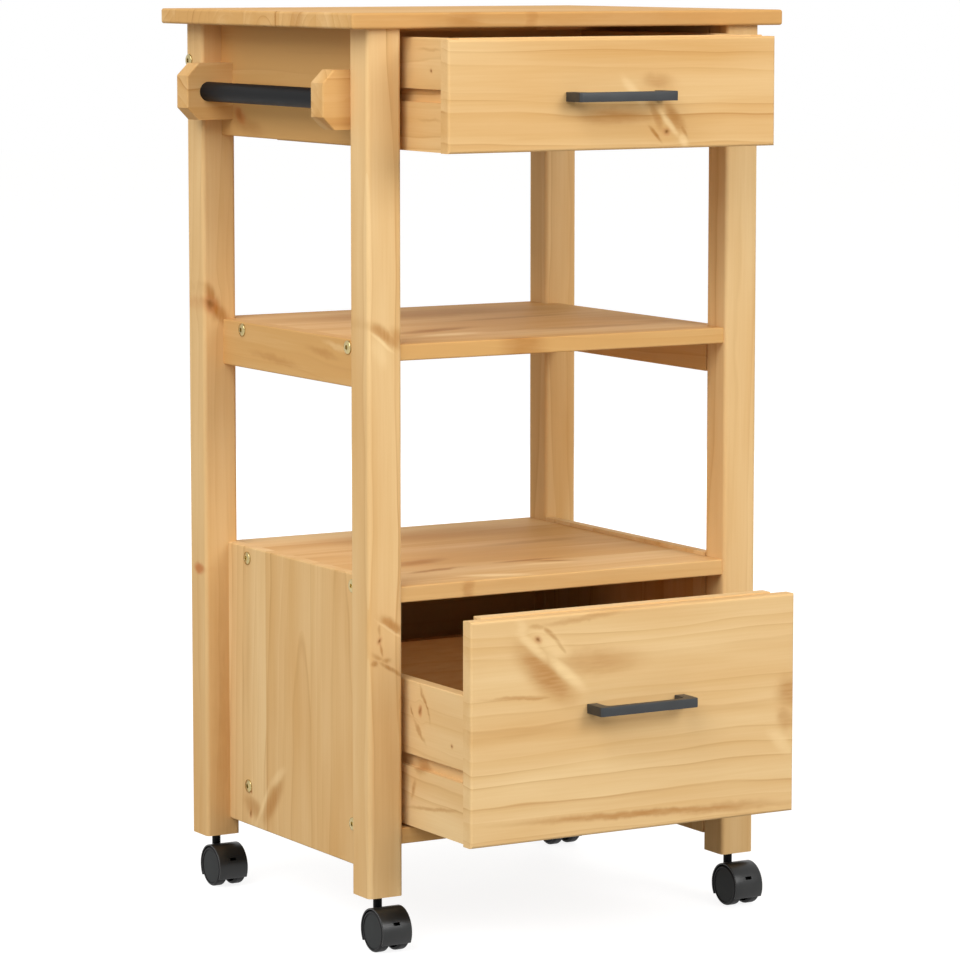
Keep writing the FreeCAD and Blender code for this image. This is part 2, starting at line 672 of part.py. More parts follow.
def make_caster(name, x, y):
    axle_y = f"({y} - trail)"
    axle_z = "(wheel_wide / 2)"
    make_hood(name, x, axle_y)
    stem = turned(name + "_stem", [
        ("0", "0"), ("stem_spigot / 2", "0"), ("stem_spigot / 2", "stem_seat - wheel_wide / 2"),
        ("stem_wide / 2", "stem_seat - wheel_wide / 2"),
        ("stem_wide / 2", "leg_foot + stem_reach - wheel_wide / 2"),
        ("0", "leg_foot + stem_reach - wheel_wide / 2")])
    move_to(stem, x, y, axle_z)
    add_node(name + "_stem", stem)
    axle = turned(name + "_axle", [
        ("0", "0"), ("axle_wide / 2", "0"), ("axle_wide / 2", "axle_long"), ("0", "axle_long")])
    axle.Placement = Placement(Vector(), AXES["X"])
    move_to(axle, f"{x} - axle_long / 2", axle_y, axle_z)
    add_node(name + "_axle", axle)
    for side, turn in (("left", -90), ("right", 90)):
        wheel = make_wheel(f"{name}_{side}_wheel")
        wheel.Placement = Placement(Vector(), Rotation(Vector(0, 1, 0), turn))
        offset = "- wheel_gap / 2" if side == "left" else "+ wheel_gap / 2"
        move_to(wheel, f"{x} {offset}", axle_y, axle_z)
        add_node(f"{name}_{side}_wheel", wheel)


def make_wheel(name):
    """Cup-shaped wheel: tread, closed outer disc and a hub that runs on the axle."""
    bore = "(axle_wide / 2 + fit_slack)"
    rim = "(wheel_wide / 2)"
    disc = "(wheel_thick - wheel_wall)"
    hub_end = "((axle_long - wheel_gap) / 2 + axle_room)"
    hub = "(axle_wide / 2 + hub_wall)"
    face = "(wheel_thick - disc_sink)"
    return turned(name, [
        (bore, "0"), (hub, "0"), (hub, disc), (f"{rim} - wheel_wall", disc), (f"{rim} - wheel_wall", "0"),
        (rim, "0"), (rim, "wheel_thick - tread_cut"), (f"{rim} - tread_cut", "wheel_thick"),
        (f"{rim} - rim_wide", "wheel_thick"), (f"{rim} - rim_wide - disc_sink", face), ("0", face),
        ("0", hub_end), (bore, hub_end)])


def make_hood(name, x, axle_y):
    """Moulded hood: an arc over both treads and a web between the wheels."""
    outer = "(wheel_wide / 2 + hood_room + hood_thick)"
    body = doc.addObject("PartDesign::Body", name + "_hood")
    cover = new_sketch(body, name + "_cover_outline", "YZ_Plane")
    draw_band(cover, value(outer), value(f"{outer} - hood_thick"))
    pad = body.newObject("PartDesign::Pad", name + "_cover")
    pad.Profile = cover
    pad.Midplane = True
    bind(pad, Length="wheel_gap + 2 * wheel_thick")
    web = new_sketch(body, name + "_web_outline", "YZ_Plane")
    draw_web(web, value(f"{outer} - hood_thick / 2"))
    filling = body.newObject("PartDesign::Pad", name + "_web")
    filling.Profile = web
    filling.Midplane = True
    bind(filling, Length="hood_web")
    bore = new_sketch(body, name + "_axle_hole_outline", "YZ_Plane")
    draw_circle(bore, "0", "0", "axle_wide / 2 + fit_slack / 2")
    axle_hole = body.newObject("PartDesign::Pocket", name + "_axle_hole")
    axle_hole.Profile = bore
    axle_hole.Midplane = True
    axle_hole.Type = "ThroughAll"
    for part, radius, foot in (("shoulder", "stem_wide / 2", "stem_seat - wheel_wide / 2"),
                               ("spigot", "stem_spigot / 2", "0")):
        seat = new_sketch(body, f"{name}_{part}_outline", "XY_Plane")
        seat.setExpression("AttachmentOffset.Base.z", formula(foot))
        draw_circle(seat, "0", "trail", radius + " + fit_slack / 2")
        hole = body.newObject("PartDesign::Pocket", f"{name}_{part}_seat")
        hole.Profile = seat
        hole.Reversed = True
        bind(hole, Length=outer)
    slot = new_sketch(body, name + "_slot_outline", "XZ_Plane")
    slot.setExpression("AttachmentOffset.Base.z", formula(f"{outer} - slot_deep"))
    slot_top = "slot_rise + slot_high"
    draw_outline(slot, [("-slot_wide / 2", "slot_rise"), ("slot_wide / 2", "slot_rise"),
                        ("slot_wide / 2", slot_top), ("-slot_wide / 2", slot_top)])
    recess = body.newObject("PartDesign::Pocket", name + "_slot")
    recess.Profile = slot
    recess.Reversed = True
    bind(recess, Length="slot_deep + hood_room")
    move_to(body, x, axle_y, "wheel_wide / 2")
    add_node(name + "_hood", body)


def polar(radius, degrees):
    return Rotation(Vector(0, 0, 1), degrees).multVec(Vector(radius, 0, 0))


def draw_band(sketch, outer, inner):
    """Arc band from the hood's back end over the top to its front end."""
    back = -value("hood_back")
    front = 180 + value("hood_front")
    ends = []
    for radius in (outer, inner):
        points = [polar(radius, back), polar(radius, (back + front) / 2), polar(radius, front)]
        sketch.addGeometry(Part.Arc(*points), False)
        ends.append(points)
    sketch.addGeometry(Part.LineSegment(ends[0][0], ends[1][0]), False)
    sketch.addGeometry(Part.LineSegment(ends[0][2], ends[1][2]), False)


def draw_web(sketch, radius):
    """Round web closed by a straight lower edge."""
    back = -value("hood_back")
    front = 180 + value("hood_front")
    points = [polar(radius, back), polar(radius, (back + front) / 2), polar(radius, front)]
    sketch.addGeometry(Part.Arc(*points), False)
    sketch.addGeometry(Part.LineSegment(points[0], points[2]), False)


def check_and_write():
    doc.recompute()
    for item in doc.Objects:
        if "Invalid" in item.State or "Error" in item.State:
            raise RuntimeError(f"{item.Label} failed: {item.State}")
    os.makedirs("parts", exist_ok=True)
    for label, item in nodes.items():
        shape = item.Shape
        if shape.isNull() or not shape.isValid() or not shape.Solids:
            raise RuntimeError(f"{label} has no valid shape")
    for label, item in nodes.items():
        item.Shape.exportStep(f"parts/{label}.step")
    print(f"{len(nodes)} nodes written")


make_worktop()
make_legs()
make_side_boards()
make_rear_boards()
make_shelves()
make_runners()
make_towel_rail()
make_bolts()
make_drawer("upper")
make_drawer("lower")
make_casters()
check_and_write()
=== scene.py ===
"""Looks of a pine kitchen cart with two drawers, a towel rail and twin-wheel casters.

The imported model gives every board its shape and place. This file gives the boards their lacquered
pine, makes finer bolts, handles and casters, and sets up a plain studio. It is laid out as an add-on
and run as a script. Lengths are in metres.
"""
import math
from dataclasses import dataclass
from typing import NamedTuple

import bmesh
import bpy
from mathutils import Matrix, Vector


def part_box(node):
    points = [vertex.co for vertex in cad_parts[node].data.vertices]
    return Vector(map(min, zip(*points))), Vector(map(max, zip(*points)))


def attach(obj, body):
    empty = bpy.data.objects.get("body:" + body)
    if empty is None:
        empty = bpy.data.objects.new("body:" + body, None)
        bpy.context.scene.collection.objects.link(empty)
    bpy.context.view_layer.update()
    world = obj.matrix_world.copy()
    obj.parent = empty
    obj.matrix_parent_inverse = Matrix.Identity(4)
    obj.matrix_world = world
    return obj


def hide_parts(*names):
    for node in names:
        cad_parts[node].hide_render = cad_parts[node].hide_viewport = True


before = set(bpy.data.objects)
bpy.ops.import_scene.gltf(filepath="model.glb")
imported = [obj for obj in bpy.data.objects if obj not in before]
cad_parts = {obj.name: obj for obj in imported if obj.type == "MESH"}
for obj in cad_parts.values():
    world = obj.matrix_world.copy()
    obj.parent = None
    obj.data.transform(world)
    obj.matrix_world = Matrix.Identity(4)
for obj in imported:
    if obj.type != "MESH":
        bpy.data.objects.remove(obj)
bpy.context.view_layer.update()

bl_info = {
    "name": "Pine kitchen cart",
    "version": (1, 0, 0),
    "blender": (4, 5, 0),
    "location": "3D View > Sidebar > Cart",
    "description": "Finishes, fittings and studio for a pine kitchen cart",
    "category": "Object",
}

MM = 0.001
ENDS = ("front", "rear")
SIDE_SIGNS = {"left": -1, "right": 1}
DRAWERS = ("upper", "lower")
CASTERS = [f"{end}_{side}_caster" for end in ENDS for side in SIDE_SIGNS]


def paint(red, green, blue):
    """Linear colour of an sRGB screen colour given from 0 to 255."""
    parts = [part / 255 for part in (red, green, blue)]
    return tuple(part / 12.92 if part <= 0.04045 else ((part + 0.055) / 1.055) ** 2.4 for part in parts)


def colour(name, description, default):
    return bpy.props.FloatVectorProperty(name=name, description=description, default=default, size=3,
                                         min=0.0, max=1.0, subtype="COLOR")


def length(name, description, default):
    return bpy.props.FloatProperty(name=name, description=description, default=default, min=0.0,
                                   subtype="DISTANCE", unit="LENGTH")


def share(name, description, default):
    return bpy.props.FloatProperty(name=name, description=description, default=default, min=0.0, max=1.0,
                                   subtype="FACTOR")


def power(name, description, default):
    return bpy.props.FloatProperty(name=name, description=description, default=default, min=0.0, unit="POWER")


def angle(name, description, default):
    return bpy.props.FloatProperty(name=name, description=description, default=default, subtype="ANGLE",
                                   unit="ROTATION")


class CartPine(bpy.types.PropertyGroup):
    """Colours and sheen of the lacquered pine."""
    pale: colour("Pale wood", "Soft wood between the growth rings", paint(238, 206, 153))
    honey: colour("Honey wood", "Warmer streaks of the soft wood", paint(214, 166, 103))
    cream: colour("Cream wood", "Palest streaks beside a knot", paint(243, 211, 156))
    # The ring colour also tints the browner streaks, painted shade among them
    ring: colour("Ring", "Dark late wood of a growth ring", paint(182, 126, 66))
    knot: colour("Knot", "Reddish wood of a knot", paint(196, 114, 58))
    eye: colour("Knot eye", "Darkest spot of a knot", paint(122, 78, 32))
    veneer: colour("Veneer", "Thin plywood of the drawer bottoms and the rear panel", paint(206, 160, 104))
    gloss: share("Roughness", "Roughness of the lacquer", 0.58)
    sheen: share("Sheen", "Strength of the lacquer's reflections", 0.05)


class CartFittings(bpy.types.PropertyGroup):
    """Colours and small sizes of the metal and plastic fittings."""
    black_paint: colour("Black paint", "Handles", paint(36, 39, 41))
    rod_paint: colour("Rod paint", "Towel rod and caster stems", paint(12, 13, 15))
    hood_plastic: colour("Hood plastic", "Caster hoods", paint(18, 19, 19))
    tyre_plastic: colour("Tyre plastic", "Rims of the caster wheels", paint(20, 20, 21))
    disc_plastic: colour("Disc plastic", "Discs of the caster wheels", paint(39, 41, 41))
    yellow_zinc: colour("Yellow zinc", "Frame bolts", paint(182, 165, 116))
    zinc: colour("Zinc", "Screws, axles and sockets", paint(186, 188, 190))
    bolt_rim: length("Bolt rim", "Thickness of a bolt head at its rim", 0.9 * MM)
    handle_edge: length("Handle edge", "Rounding of the handles' edges", 0.6 * MM)
    hood_edge: length("Hood edge", "Rounding of the hoods' edges", 0.5 * MM)


class CartStudio(bpy.types.PropertyGroup):
    """Floor, lamps and camera."""
    floor_size: length("Floor", "Side of the square floor", 30.0)
    floor_grey: share("Floor grey", "How much light the floor throws back", 0.3)
    floor_glow: share("Floor glow", "White that the floor shows the camera on top of its light", 0.86)
    ambient: share("Ambient", "Strength of the soft light from the walls", 0.9)
    ceiling: share("Ceiling", "Strength of the soft light from straight above", 0.25)
    key_power: power("Key lamp", "Soft lamp high on the left", 133.0)
    front_power: power("Front lamp", "Soft lamp in front, to the right", 58.0)
    back_power: power("Back lamp", "Weak soft lamp behind, to the right", 40.0)
    camera_place: bpy.props.FloatVectorProperty(
        name="Camera", description="Place of the camera", default=(-2.1486, -3.6826, 0.9459), size=3,
        subtype="TRANSLATION", unit="LENGTH")
    camera_turn: angle("Camera turn", "Turn to the right of the view along +Y", 0.5309)
    camera_tilt: angle("Camera tilt", "Tilt of the view below level", 0.1228)
    lens: bpy.props.FloatProperty(
        name="Lens", description="Focal length in millimetres on a 36 mm frame", default=160.43, min=1.0)


class Wire:
    """A shader socket that can be used in arithmetic, with one method for every other node."""

    def __init__(self, tree, socket=None):
        self.tree = tree
        self.socket = socket

    def node(self, kind, settings=None, values=None, output=0):
        """Add a node, set it up, fill its sockets and return one of its outputs."""
        made = self.tree.nodes.new("ShaderNode" + kind)
        for name, setting in (settings or {}).items():
            if name == "stops":
                self.set_stops(made.color_ramp, setting)
            else:
                setattr(made, name, setting)
        for name, given in (values or {}).items():
            if isinstance(given, Wire):
                self.tree.links.new(given.socket, made.inputs[name])
            else:
                made.inputs[name].default_value = given
        return Wire(self.tree, made.outputs[output]) if made.outputs else None

    @staticmethod
    def set_stops(ramp, stops):
        """Grey stops of a colour ramp, as pairs of place and brightness."""
        ramp.interpolation = "EASE"
        ramp.elements[0].position = stops[0][0]
        ramp.elements[-1].position = stops[-1][0]
        for place, _ in stops[1:-1]:
            ramp.elements.new(place)
        for element, (_, grey) in zip(ramp.elements, stops):
            element.color = (grey, grey, grey, 1.0)

    def sum_node(self, operation, *values):
        return self.node("Math", {"operation": operation}, dict(enumerate(values)))

    def __add__(self, other):
        return self.sum_node("ADD", self, other)

    def __radd__(self, other):
        return self.sum_node("ADD", other, self)

    def __sub__(self, other):
        return self.sum_node("SUBTRACT", self, other)

    def __rsub__(self, other):
        return self.sum_node("SUBTRACT", other, self)

    def __mul__(self, other):
        return self.sum_node("MULTIPLY", self, other)

    def __rmul__(self, other):
        return self.sum_node("MULTIPLY", other, self)

    def __truediv__(self, other):
        return self.sum_node("DIVIDE", self, other)

    def __rtruediv__(self, other):
        return self.sum_node("DIVIDE", other, self)

    def __pow__(self, other):
        return self.sum_node("POWER", self, other)

    def __rpow__(self, other):
        return self.sum_node("POWER", other, self)


def exponential(value):
    return value.sum_node("EXPONENT", value)


def smooth_step(value, start, end):
    """Goes smoothly from 0 at the start to 1 at the end."""
    return value.node("MapRange", {"interpolation_type": "SMOOTHSTEP"},
                      {"Value": value, "From Min": start, "From Max": end})


# Sockets of a Mix node that take and give colours
MIX_FIRST = 6
MIX_SECOND = 7
MIX_RESULT = 2


def blend_colours(factor, first, second):
    """Colour that goes from the first to the second with the factor."""
    given = {0: factor}
    for socket, shade in ((MIX_FIRST, first), (MIX_SECOND, second)):
        given[socket] = shade if isinstance(shade, Wire) else (*shade, 1.0)
    return factor.node("Mix", {"data_type": "RGBA"}, given, MIX_RESULT)


def point(net, x, y, z):
    return net.node("CombineXYZ", None, {"X": x, "Y": y, "Z": z})


def noise(net, place, scale, detail):
    """Noise that swings about 0. The node's own swings about a half."""
    return net.node("TexNoise", None, {"Vector": place, "Scale": scale, "Detail": detail}, "Fac") - 0.5


def new_finish(name):
    material = bpy.data.materials.new(name)
    material.use_nodes = True
    material.node_tree.nodes.clear()
    return material, Wire(material.node_tree)


def end_finish(net, values):
    """Close a finish with one Principled shader."""
    surface = net.node("BsdfPrincipled", None, values)
    net.node("OutputMaterial", None, {"Surface": surface})


def bump(net, height, strength, distance):
    return net.node("Bump", None, {"Height": height, "Strength": strength, "Distance": distance})


class Mark(NamedTuple):
    """A streak or knot: place, half length and half width in millimetres, and turn in degrees.

    A streak of a strength above 0 is browner than the wood round it, below 0 paler. A few wide browner
    streaks are painted shade on parts of boards that lie in shade. An edge knot runs across the board, so its
    second place is through it.
    """
    along: float
    across: float
    half_long: float
    half_wide: float
    turn: float
    strength: float


@dataclass
class Board:
    """How a board was cut from the tree and what shows on it, each mark as a row of its numbers."""
    grain: str                    # axes along, across and through the board
    seed: float                   # start of the noises, another one for each board
    stave: float = 0.0            # width of the glued staves, 0 for a board in one piece
    ring: float = 0.014           # usual width of a growth ring
    figure: float = 1.0           # strength of the rings' dark lines
    pith: tuple = (-0.10, 0.06)   # centre of the tree, across and through from the board's middle
    drift: float = 0.05           # how far the centre leans through the board for each metre along it
    tone: float = 0.5             # from pale at 0 to honey at 1
    # browner and paler streaks of the wood, a few of the browner ones painted shade
    streaks: tuple = ()
    knots: tuple = ()
    edge_knots: tuple = ()

    def __post_init__(self):
        for kind in ("streaks", "knots", "edge_knots"):
            setattr(self, kind, tuple(Mark(*row) for row in getattr(self, kind)))


LEG = {"grain": "ZXY", "ring": 0.013, "drift": 0.02, "figure": 0.75}
SHELF = {"grain": "XYZ", "stave": 0.074, "ring": 0.012, "figure": 0.9}
PANEL = {"grain": "ZYX", "stave": 0.095, "ring": 0.014, "figure": 0.8}
CROSSWISE = {"grain": "XZY", "ring": 0.018}
LENGTHWISE = {"grain": "YZX", "ring": 0.018}

BOARDS = {
    # The long streak down the whole front edge is partly browner wood and partly painted shade on that edge
    "tabletop": Board(
        **SHELF, seed=2.0, tone=0.9,
        streaks=((-240, -47, 6, 1.6, 0, 0.9), (-240, -90, 30, 14, 0, 0.3), (0, -200, 330, 9, 0, 0.3),
                 (-120, -200, 26, 9, 0, 0.55), (-47, -200, 9, 7, 30, 0.6))),
    "front_left_leg": Board(
        **LEG, seed=11.0, pith=(0.05, 0.03), tone=0.45,
        streaks=((588, -200, 21, 6, -56, 0.75), (586, -189, 10, 8, -41, 0.6), (582, -204, 15, 1.8, -50, -0.8),
                 (572, -206, 15, 7, -25, -0.4), (314, -195, 14, 5, -56, 0.85),
                 (309, -196, 16, 1.4, -56, -0.6), (310, -208, 6, 1.5, 0, 0.5), (291, -206, 6, 1.5, -12, 0.6),
                 (284, -210, 6, 2.5, -62, 0.55), (278, -213, 4, 3.5, -50, 0.75),
                 (280, -200, 5, 3, -80, 0.6), (271, -195, 14, 2, -59, 0.7)),
        knots=((300, -208, 3.2, 2.6, 0, 0.9),)),
    "front_right_leg": Board(**LEG, seed=14.0, pith=(-0.07, 0.05), tone=0.5),
    # The long low streak on the front face beside the side panel is painted shade in that corner
    "rear_left_leg": Board(
        **LEG, seed=17.0, pith=(0.05, -0.05), tone=0.6,
        streaks=((606, -212, 10, 5, -20, 0.8), (587, -203, 16, 7, -40, 0.9), (590, -206, 12, 6, 0, 0.7),
                 (150, -196, 170, 14, 0, 0.4)),
        knots=((595, -212, 7, 6, -14, 0.7),), edge_knots=((326, 165, 4.5, 8, 0, 0.05),)),
    "rear_right_leg": Board(**LEG, seed=23.0, pith=(0.06, 0.04), tone=0.6),
    # The left apron's darker tone is partly browner wood and partly painted shade under the tabletop's
    # overhang
    "left_apron": Board(
        **LENGTHWISE, seed=31.0, pith=(0.22, 0.03), figure=0.6, tone=1.05,
        streaks=((96, 776, 33, 8, 10, 0.5),), knots=((111, 785, 9, 4.5, 29, 0.3),)),
    "right_apron": Board(**LENGTHWISE, seed=33.0),
    "rear_apron": Board(**CROSSWISE, seed=36.0),
    "left_shelf_rail": Board(
        **LENGTHWISE, seed=38.0, pith=(-0.05, 0.035), tone=1.0,
        streaks=((-60, 562, 30, 4, 6, 0.4), (40, 548, 45, 4, 4, 0.4), (-90, 570, 26, 3, 8, -0.4))),
    "right_shelf_rail": Board(**LENGTHWISE, seed=41.0, pith=(0.06, 0.04), tone=0.8),
    "left_side_panel": Board(
        **PANEL, seed=43.9, tone=0.47,
        streaks=((101, 57, 31, 9, -40, 0.7), (88, 100, 19, 9, 76, 0.6), (93, 79, 28, 3, -33, -0.6),
                 (127, 47, 19, 5, -57, -0.5), (91, 104, 6, 1, 11, 0.4)),
        knots=((81, 105, 4, 2, 0, 0.8), (105, 103, 3, 1.8, 0, 0.6))),
    "right_side_panel": Board(**PANEL, seed=47.0, tone=0.6),
    # The wide streak across the back is partly browner wood and partly painted shade under the drawer and
    # tabletop
    "middle_shelf": Board(
        **SHELF, seed=52.0, tone=0.82,
        streaks=((-80, -70, 52, 12, 18, 0.9), (-85, -114, 36, 11, 8, -0.9), (-50, -183, 26, 7, -8, 0.7),
                 (10, 105, 150, 42, 4, 0.6), (80, -110, 70, 12, -3, 0.5), (60, 20, 70, 10, 8, 0.5))),
    # The wide streak across the back is partly browner wood and partly painted shade under the shelf above
    "lower_shelf": Board(
        **SHELF, seed=55.0, tone=0.72,
        streaks=((-88, -52, 34, 12, 20, 0.85), (-99, -106, 32, 6, 12, 0.9), (-66, -164, 36, 9, -20, -0.9),
                 (14, -92, 34, 6, 2, 0.85), (34, -108, 22, 5, -20, 0.8), (20, -120, 30, 6, -8, -0.7),
                 (90, 20, 60, 10, 3, 0.5), (-110, -188, 9, 4, 30, 0.5), (40, 115, 160, 34, 0, 0.4))),
    "bottom_shelf": Board(**SHELF, seed=58.0, tone=0.7),
    "upper_runners": Board(**LENGTHWISE, seed=61.0, tone=0.6),
    "lower_runners": Board(**LENGTHWISE, seed=63.0, tone=0.6),
    "front_towel_bracket": Board(**CROSSWISE, seed=65.0, tone=0.75),
    "rear_towel_bracket": Board(**CROSSWISE, seed=68.0, tone=0.85),
    "upper_drawer_front": Board(
        **CROSSWISE, seed=71.0, pith=(-0.15, 0.02), figure=0.75, tone=0.6, drift=0.02,
        streaks=((0, 793, 38, 8, -1, 0.65), (48, 825, 18, 7, -5, 0.5), (66, 791, 17, 6, -50, 0.8),
                 (46, 792, 14, 5, -68, 0.6), (44, 776, 10, 1.8, -47, 1.0), (77, 778, 9, 2, -60, 0.7),
                 (61, 784, 17, 3, -48, -0.7), (77, 768, 7, 5, -57, -0.6), (20, 816, 17, 5, -47, -0.6)),
        knots=((58, 777, 4.5, 3, -13, 0.9),)),
    "lower_drawer_front": Board(
        **CROSSWISE, seed=77.0, pith=(-0.21, 0.02), figure=0.75, tone=0.42, drift=0.03,
        streaks=((-101, 278, 38, 15, -43, 0.8), (-44, 284, 46, 12, -2, 0.45), (-113, 303, 23, 5, -41, -0.8),
                 (-79, 277, 27, 6, -40, -0.9), (-127, 323, 7, 6, -57, -0.5), (-94, 304, 22, 10, -35, -0.5),
                 (-95, 315, 8, 2.4, -38, 0.8), (-91, 311, 7, 1.8, -40, 1.0), (-84, 302, 9, 1.8, -51, 0.8),
                 (-109, 322, 9, 2.4, -8, 0.5), (-60, 326, 44, 3, 5, 0.4), (-123, 256, 40, 2, -2, 0.5),
                 (176, 236, 16, 15, -50, 0.6), (172, 210, 13, 9, -60, 0.5), (166, 188, 17, 7, -42, -0.6),
                 (17, 133, 140, 3.5, -2, 0.7), (100, 130, 55, 5, -1, 0.5)),
        knots=((-108, 310, 4, 2.6, -24, 0.8),)),
    "upper_drawer_inner_front": Board(**CROSSWISE, seed=80.0),
    "lower_drawer_inner_front": Board(**CROSSWISE, seed=82.0, tone=0.3),
    "upper_drawer_left_side": Board(
        **LENGTHWISE, seed=84.0, pith=(0.12, 0.05), tone=0.62,
        streaks=((-229, 856, 21, 1.5, 1, 0.35), (-229, 791, 21, 1.5, 0, 0.3), (-249, 849, 1.5, 3, 0, 0.4)),
        knots=((-231, 836, 2.2, 2, 0, 0.9),)),
    "upper_drawer_right_side": Board(**LENGTHWISE, seed=87.0),
    "upper_drawer_back": Board(**CROSSWISE, seed=89.0),
    "lower_drawer_left_side": Board(
        **LENGTHWISE, seed=91.0, pith=(-0.10, 0.04), tone=0.33,
        streaks=((-194, 230, 5, 1.6, 64, 0.8), (-219, 241, 17, 1.8, 58, 0.7), (-207, 212, 13, 2.4, 42, 0.6),
                 (-206, 178, 13, 6, 10, 0.6), (-196, 155, 9, 3, -71, 0.6), (-234, 142, 49, 1.8, -7, 0.5)),
        knots=((-210, 233, 2.2, 4.5, 0, 0.6), (-269, 208, 2, 2, 0, 0.8))),
    "lower_drawer_right_side": Board(**LENGTHWISE, seed=94.0),
    # The higher tone and the one streak over the whole back are painted shade inside the drawer
    "lower_drawer_back": Board(**CROSSWISE, seed=97.0, tone=0.9, streaks=((0, 190, 400, 200, 0, 0.65),)),
}
VENEERS = {
    "rear_panel": Board("XZY", 101.0, ring=0.024, tone=0.6),
    "upper_drawer_bottom": Board("YXZ", 104.0, ring=0.024, tone=0.6),
    "lower_drawer_bottom": Board("YXZ", 107.0, ring=0.024, tone=0.6),
}


# Darkness of a growth ring from its start to its end
LATE_WOOD = ((0.0, 0.0), (0.1, 0.0), (0.6, 0.05), (0.84, 0.3), (0.94, 1.0), (1.0, 0.0))

# Noises of the wood: waves in a metre along the grain and across it, and the detail in them
FLAME = (45.0, 330.0, 2.0)
SWAY = (2.4, 9.0, 2.0)
RIPPLE = (12.0, 40.0, 1.0)
FADE = (6.0, 45.0, 1.0)
FIBRE = (14.0, 520.0, 3.0)
CLOUD = (3.0, 20.0, 2.0)

# Uneven outlines of streaks and knots
WOBBLE_WAVES = 75.0
WOBBLE_DETAIL = 3.0
WOBBLE_ALONG = 9 * MM
WOBBLE_ACROSS = 6 * MM

# Streaks are flamed, and fade from their middle, faster towards their edge
FLAME_RANGE = 0.8
STREAK_FALL = 0.4
STREAK_EDGE = 0.6

# Knots have a red body, fainter where the eye is strong, and a dark eye, and the grain bends round them
KNOT_EDGE = 0.3
KNOT_MOST = 0.8
KNOT_LOSS = 0.5
EYE_FALL = 2.5
BEND_FALL = 0.1
BEND_SHARE = 0.7

# Staves: where the seams lie, and how the trees' centres, lengths, tones and figures differ
SEAM_SHIFT = 0.37
SEAM_START = 0.493
SEAM_END = 0.5
SEAM_TINT = 0.3
CENTRE_ASIDE = 1.6
CENTRE_LEAST = 12 * MM
CENTRE_RANGE = 60 * MM
STAVE_LENGTHS = 3.0
STAVE_TONES = 0.45
STAVE_FIGURE = 0.35

# Growth rings: their bends and uneven widths, and how dark their lines are and where they fade
SWAY_REACH = 30 * MM
CROWDING_WAVES = 34.0
CROWDING_DETAIL = 1.0
CROWDING_RANGE = 3.2
RIPPLE_RANGE = 0.35
LINE_LEAST = 0.12
LINE_RANGE = 0.62
FADE_START = -0.22
FADE_END = 0.14

# Tone, sheen and relief of the wood
CLOUD_TONE = 1.3
FIBRE_TONE = 0.3
RING_TONE = 0.3
FIBRE_DULLNESS = 0.12
LINE_GLOSS = 0.08
FIBRE_HEIGHT = 0.7
WOOD_BUMP = 0.1
WOOD_RELIEF = 0.4 * MM


def middle_of(node):
    """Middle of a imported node's box."""
    low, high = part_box(node)
    return (low + high) / 2


def wood_noise(net, place, waves, seed=0.0):
    """Noise drawn out along the grain, for a place along, across and through the wood."""
    along, across, through = place
    fine_along, fine_across, detail = waves
    drawn_out = point(net, along * fine_along, across * fine_across, through * fine_across + seed)
    return noise(net, drawn_out, 1.0, detail)


def mark_distance(along, across, mark):
    """Squared distance from the middle of a streak or knot, 1 at its edge."""
    turn = math.radians(mark.turn)
    ahead = along - mark.along * MM
    aside = across - mark.across * MM
    lengthwise = (ahead * math.cos(turn) + aside * math.sin(turn)) / (mark.half_long * MM)
    crosswise = (aside * math.cos(turn) - ahead * math.sin(turn)) / (mark.half_wide * MM)
    return lengthwise * lengthwise + crosswise * crosswise


def strongest(masks):
    total = masks[0]
    for mask in masks[1:]:
        total = total.sum_node("MAXIMUM", total, mask)
    return total


def add_knot(masks, squared, strength):
    """Add the masks of a knot's body and eye."""
    masks["knot"].append(exponential(squared * squared * -KNOT_EDGE) * (KNOT_MOST - KNOT_LOSS * strength))
    masks["eye"].append(exponential(squared * -EYE_FALL) * strength)


def mark_masks(net, board, place, in_board):
    """Masks of streaks and knots, by the colour each brings, and the grain that flows round the knots."""
    along, across, through = in_board
    wobble = noise(net, place, WOBBLE_WAVES, WOBBLE_DETAIL)
    uneven_along = along + wobble * WOBBLE_ALONG
    uneven_across = across - wobble * WOBBLE_ACROSS
    uneven_through = through - wobble * WOBBLE_ACROSS
    flame = wood_noise(net, in_board, FLAME) * FLAME_RANGE + 1.0
    masks = {"ring": [], "cream": [], "knot": [], "eye": []}
    flow = across
    for mark in board.streaks:
        squared = mark_distance(uneven_along, uneven_across, mark)
        shape = exponential(squared * (-STREAK_FALL - STREAK_EDGE * squared))
        # Browner streaks, painted shade among them, take the ring colour; paler ones take the cream
        tint = "ring" if mark.strength > 0 else "cream"
        masks[tint].append(shape * flame * abs(mark.strength))
    for mark in board.knots:
        squared = mark_distance(uneven_along, uneven_across, mark)
        add_knot(masks, squared, mark.strength)
        aside = uneven_across - mark.across * MM
        flow = flow - aside * exponential(squared * -BEND_FALL) * BEND_SHARE
    for mark in board.edge_knots:
        add_knot(masks, mark_distance(uneven_along, uneven_through, mark), mark.strength)
    return masks, flow


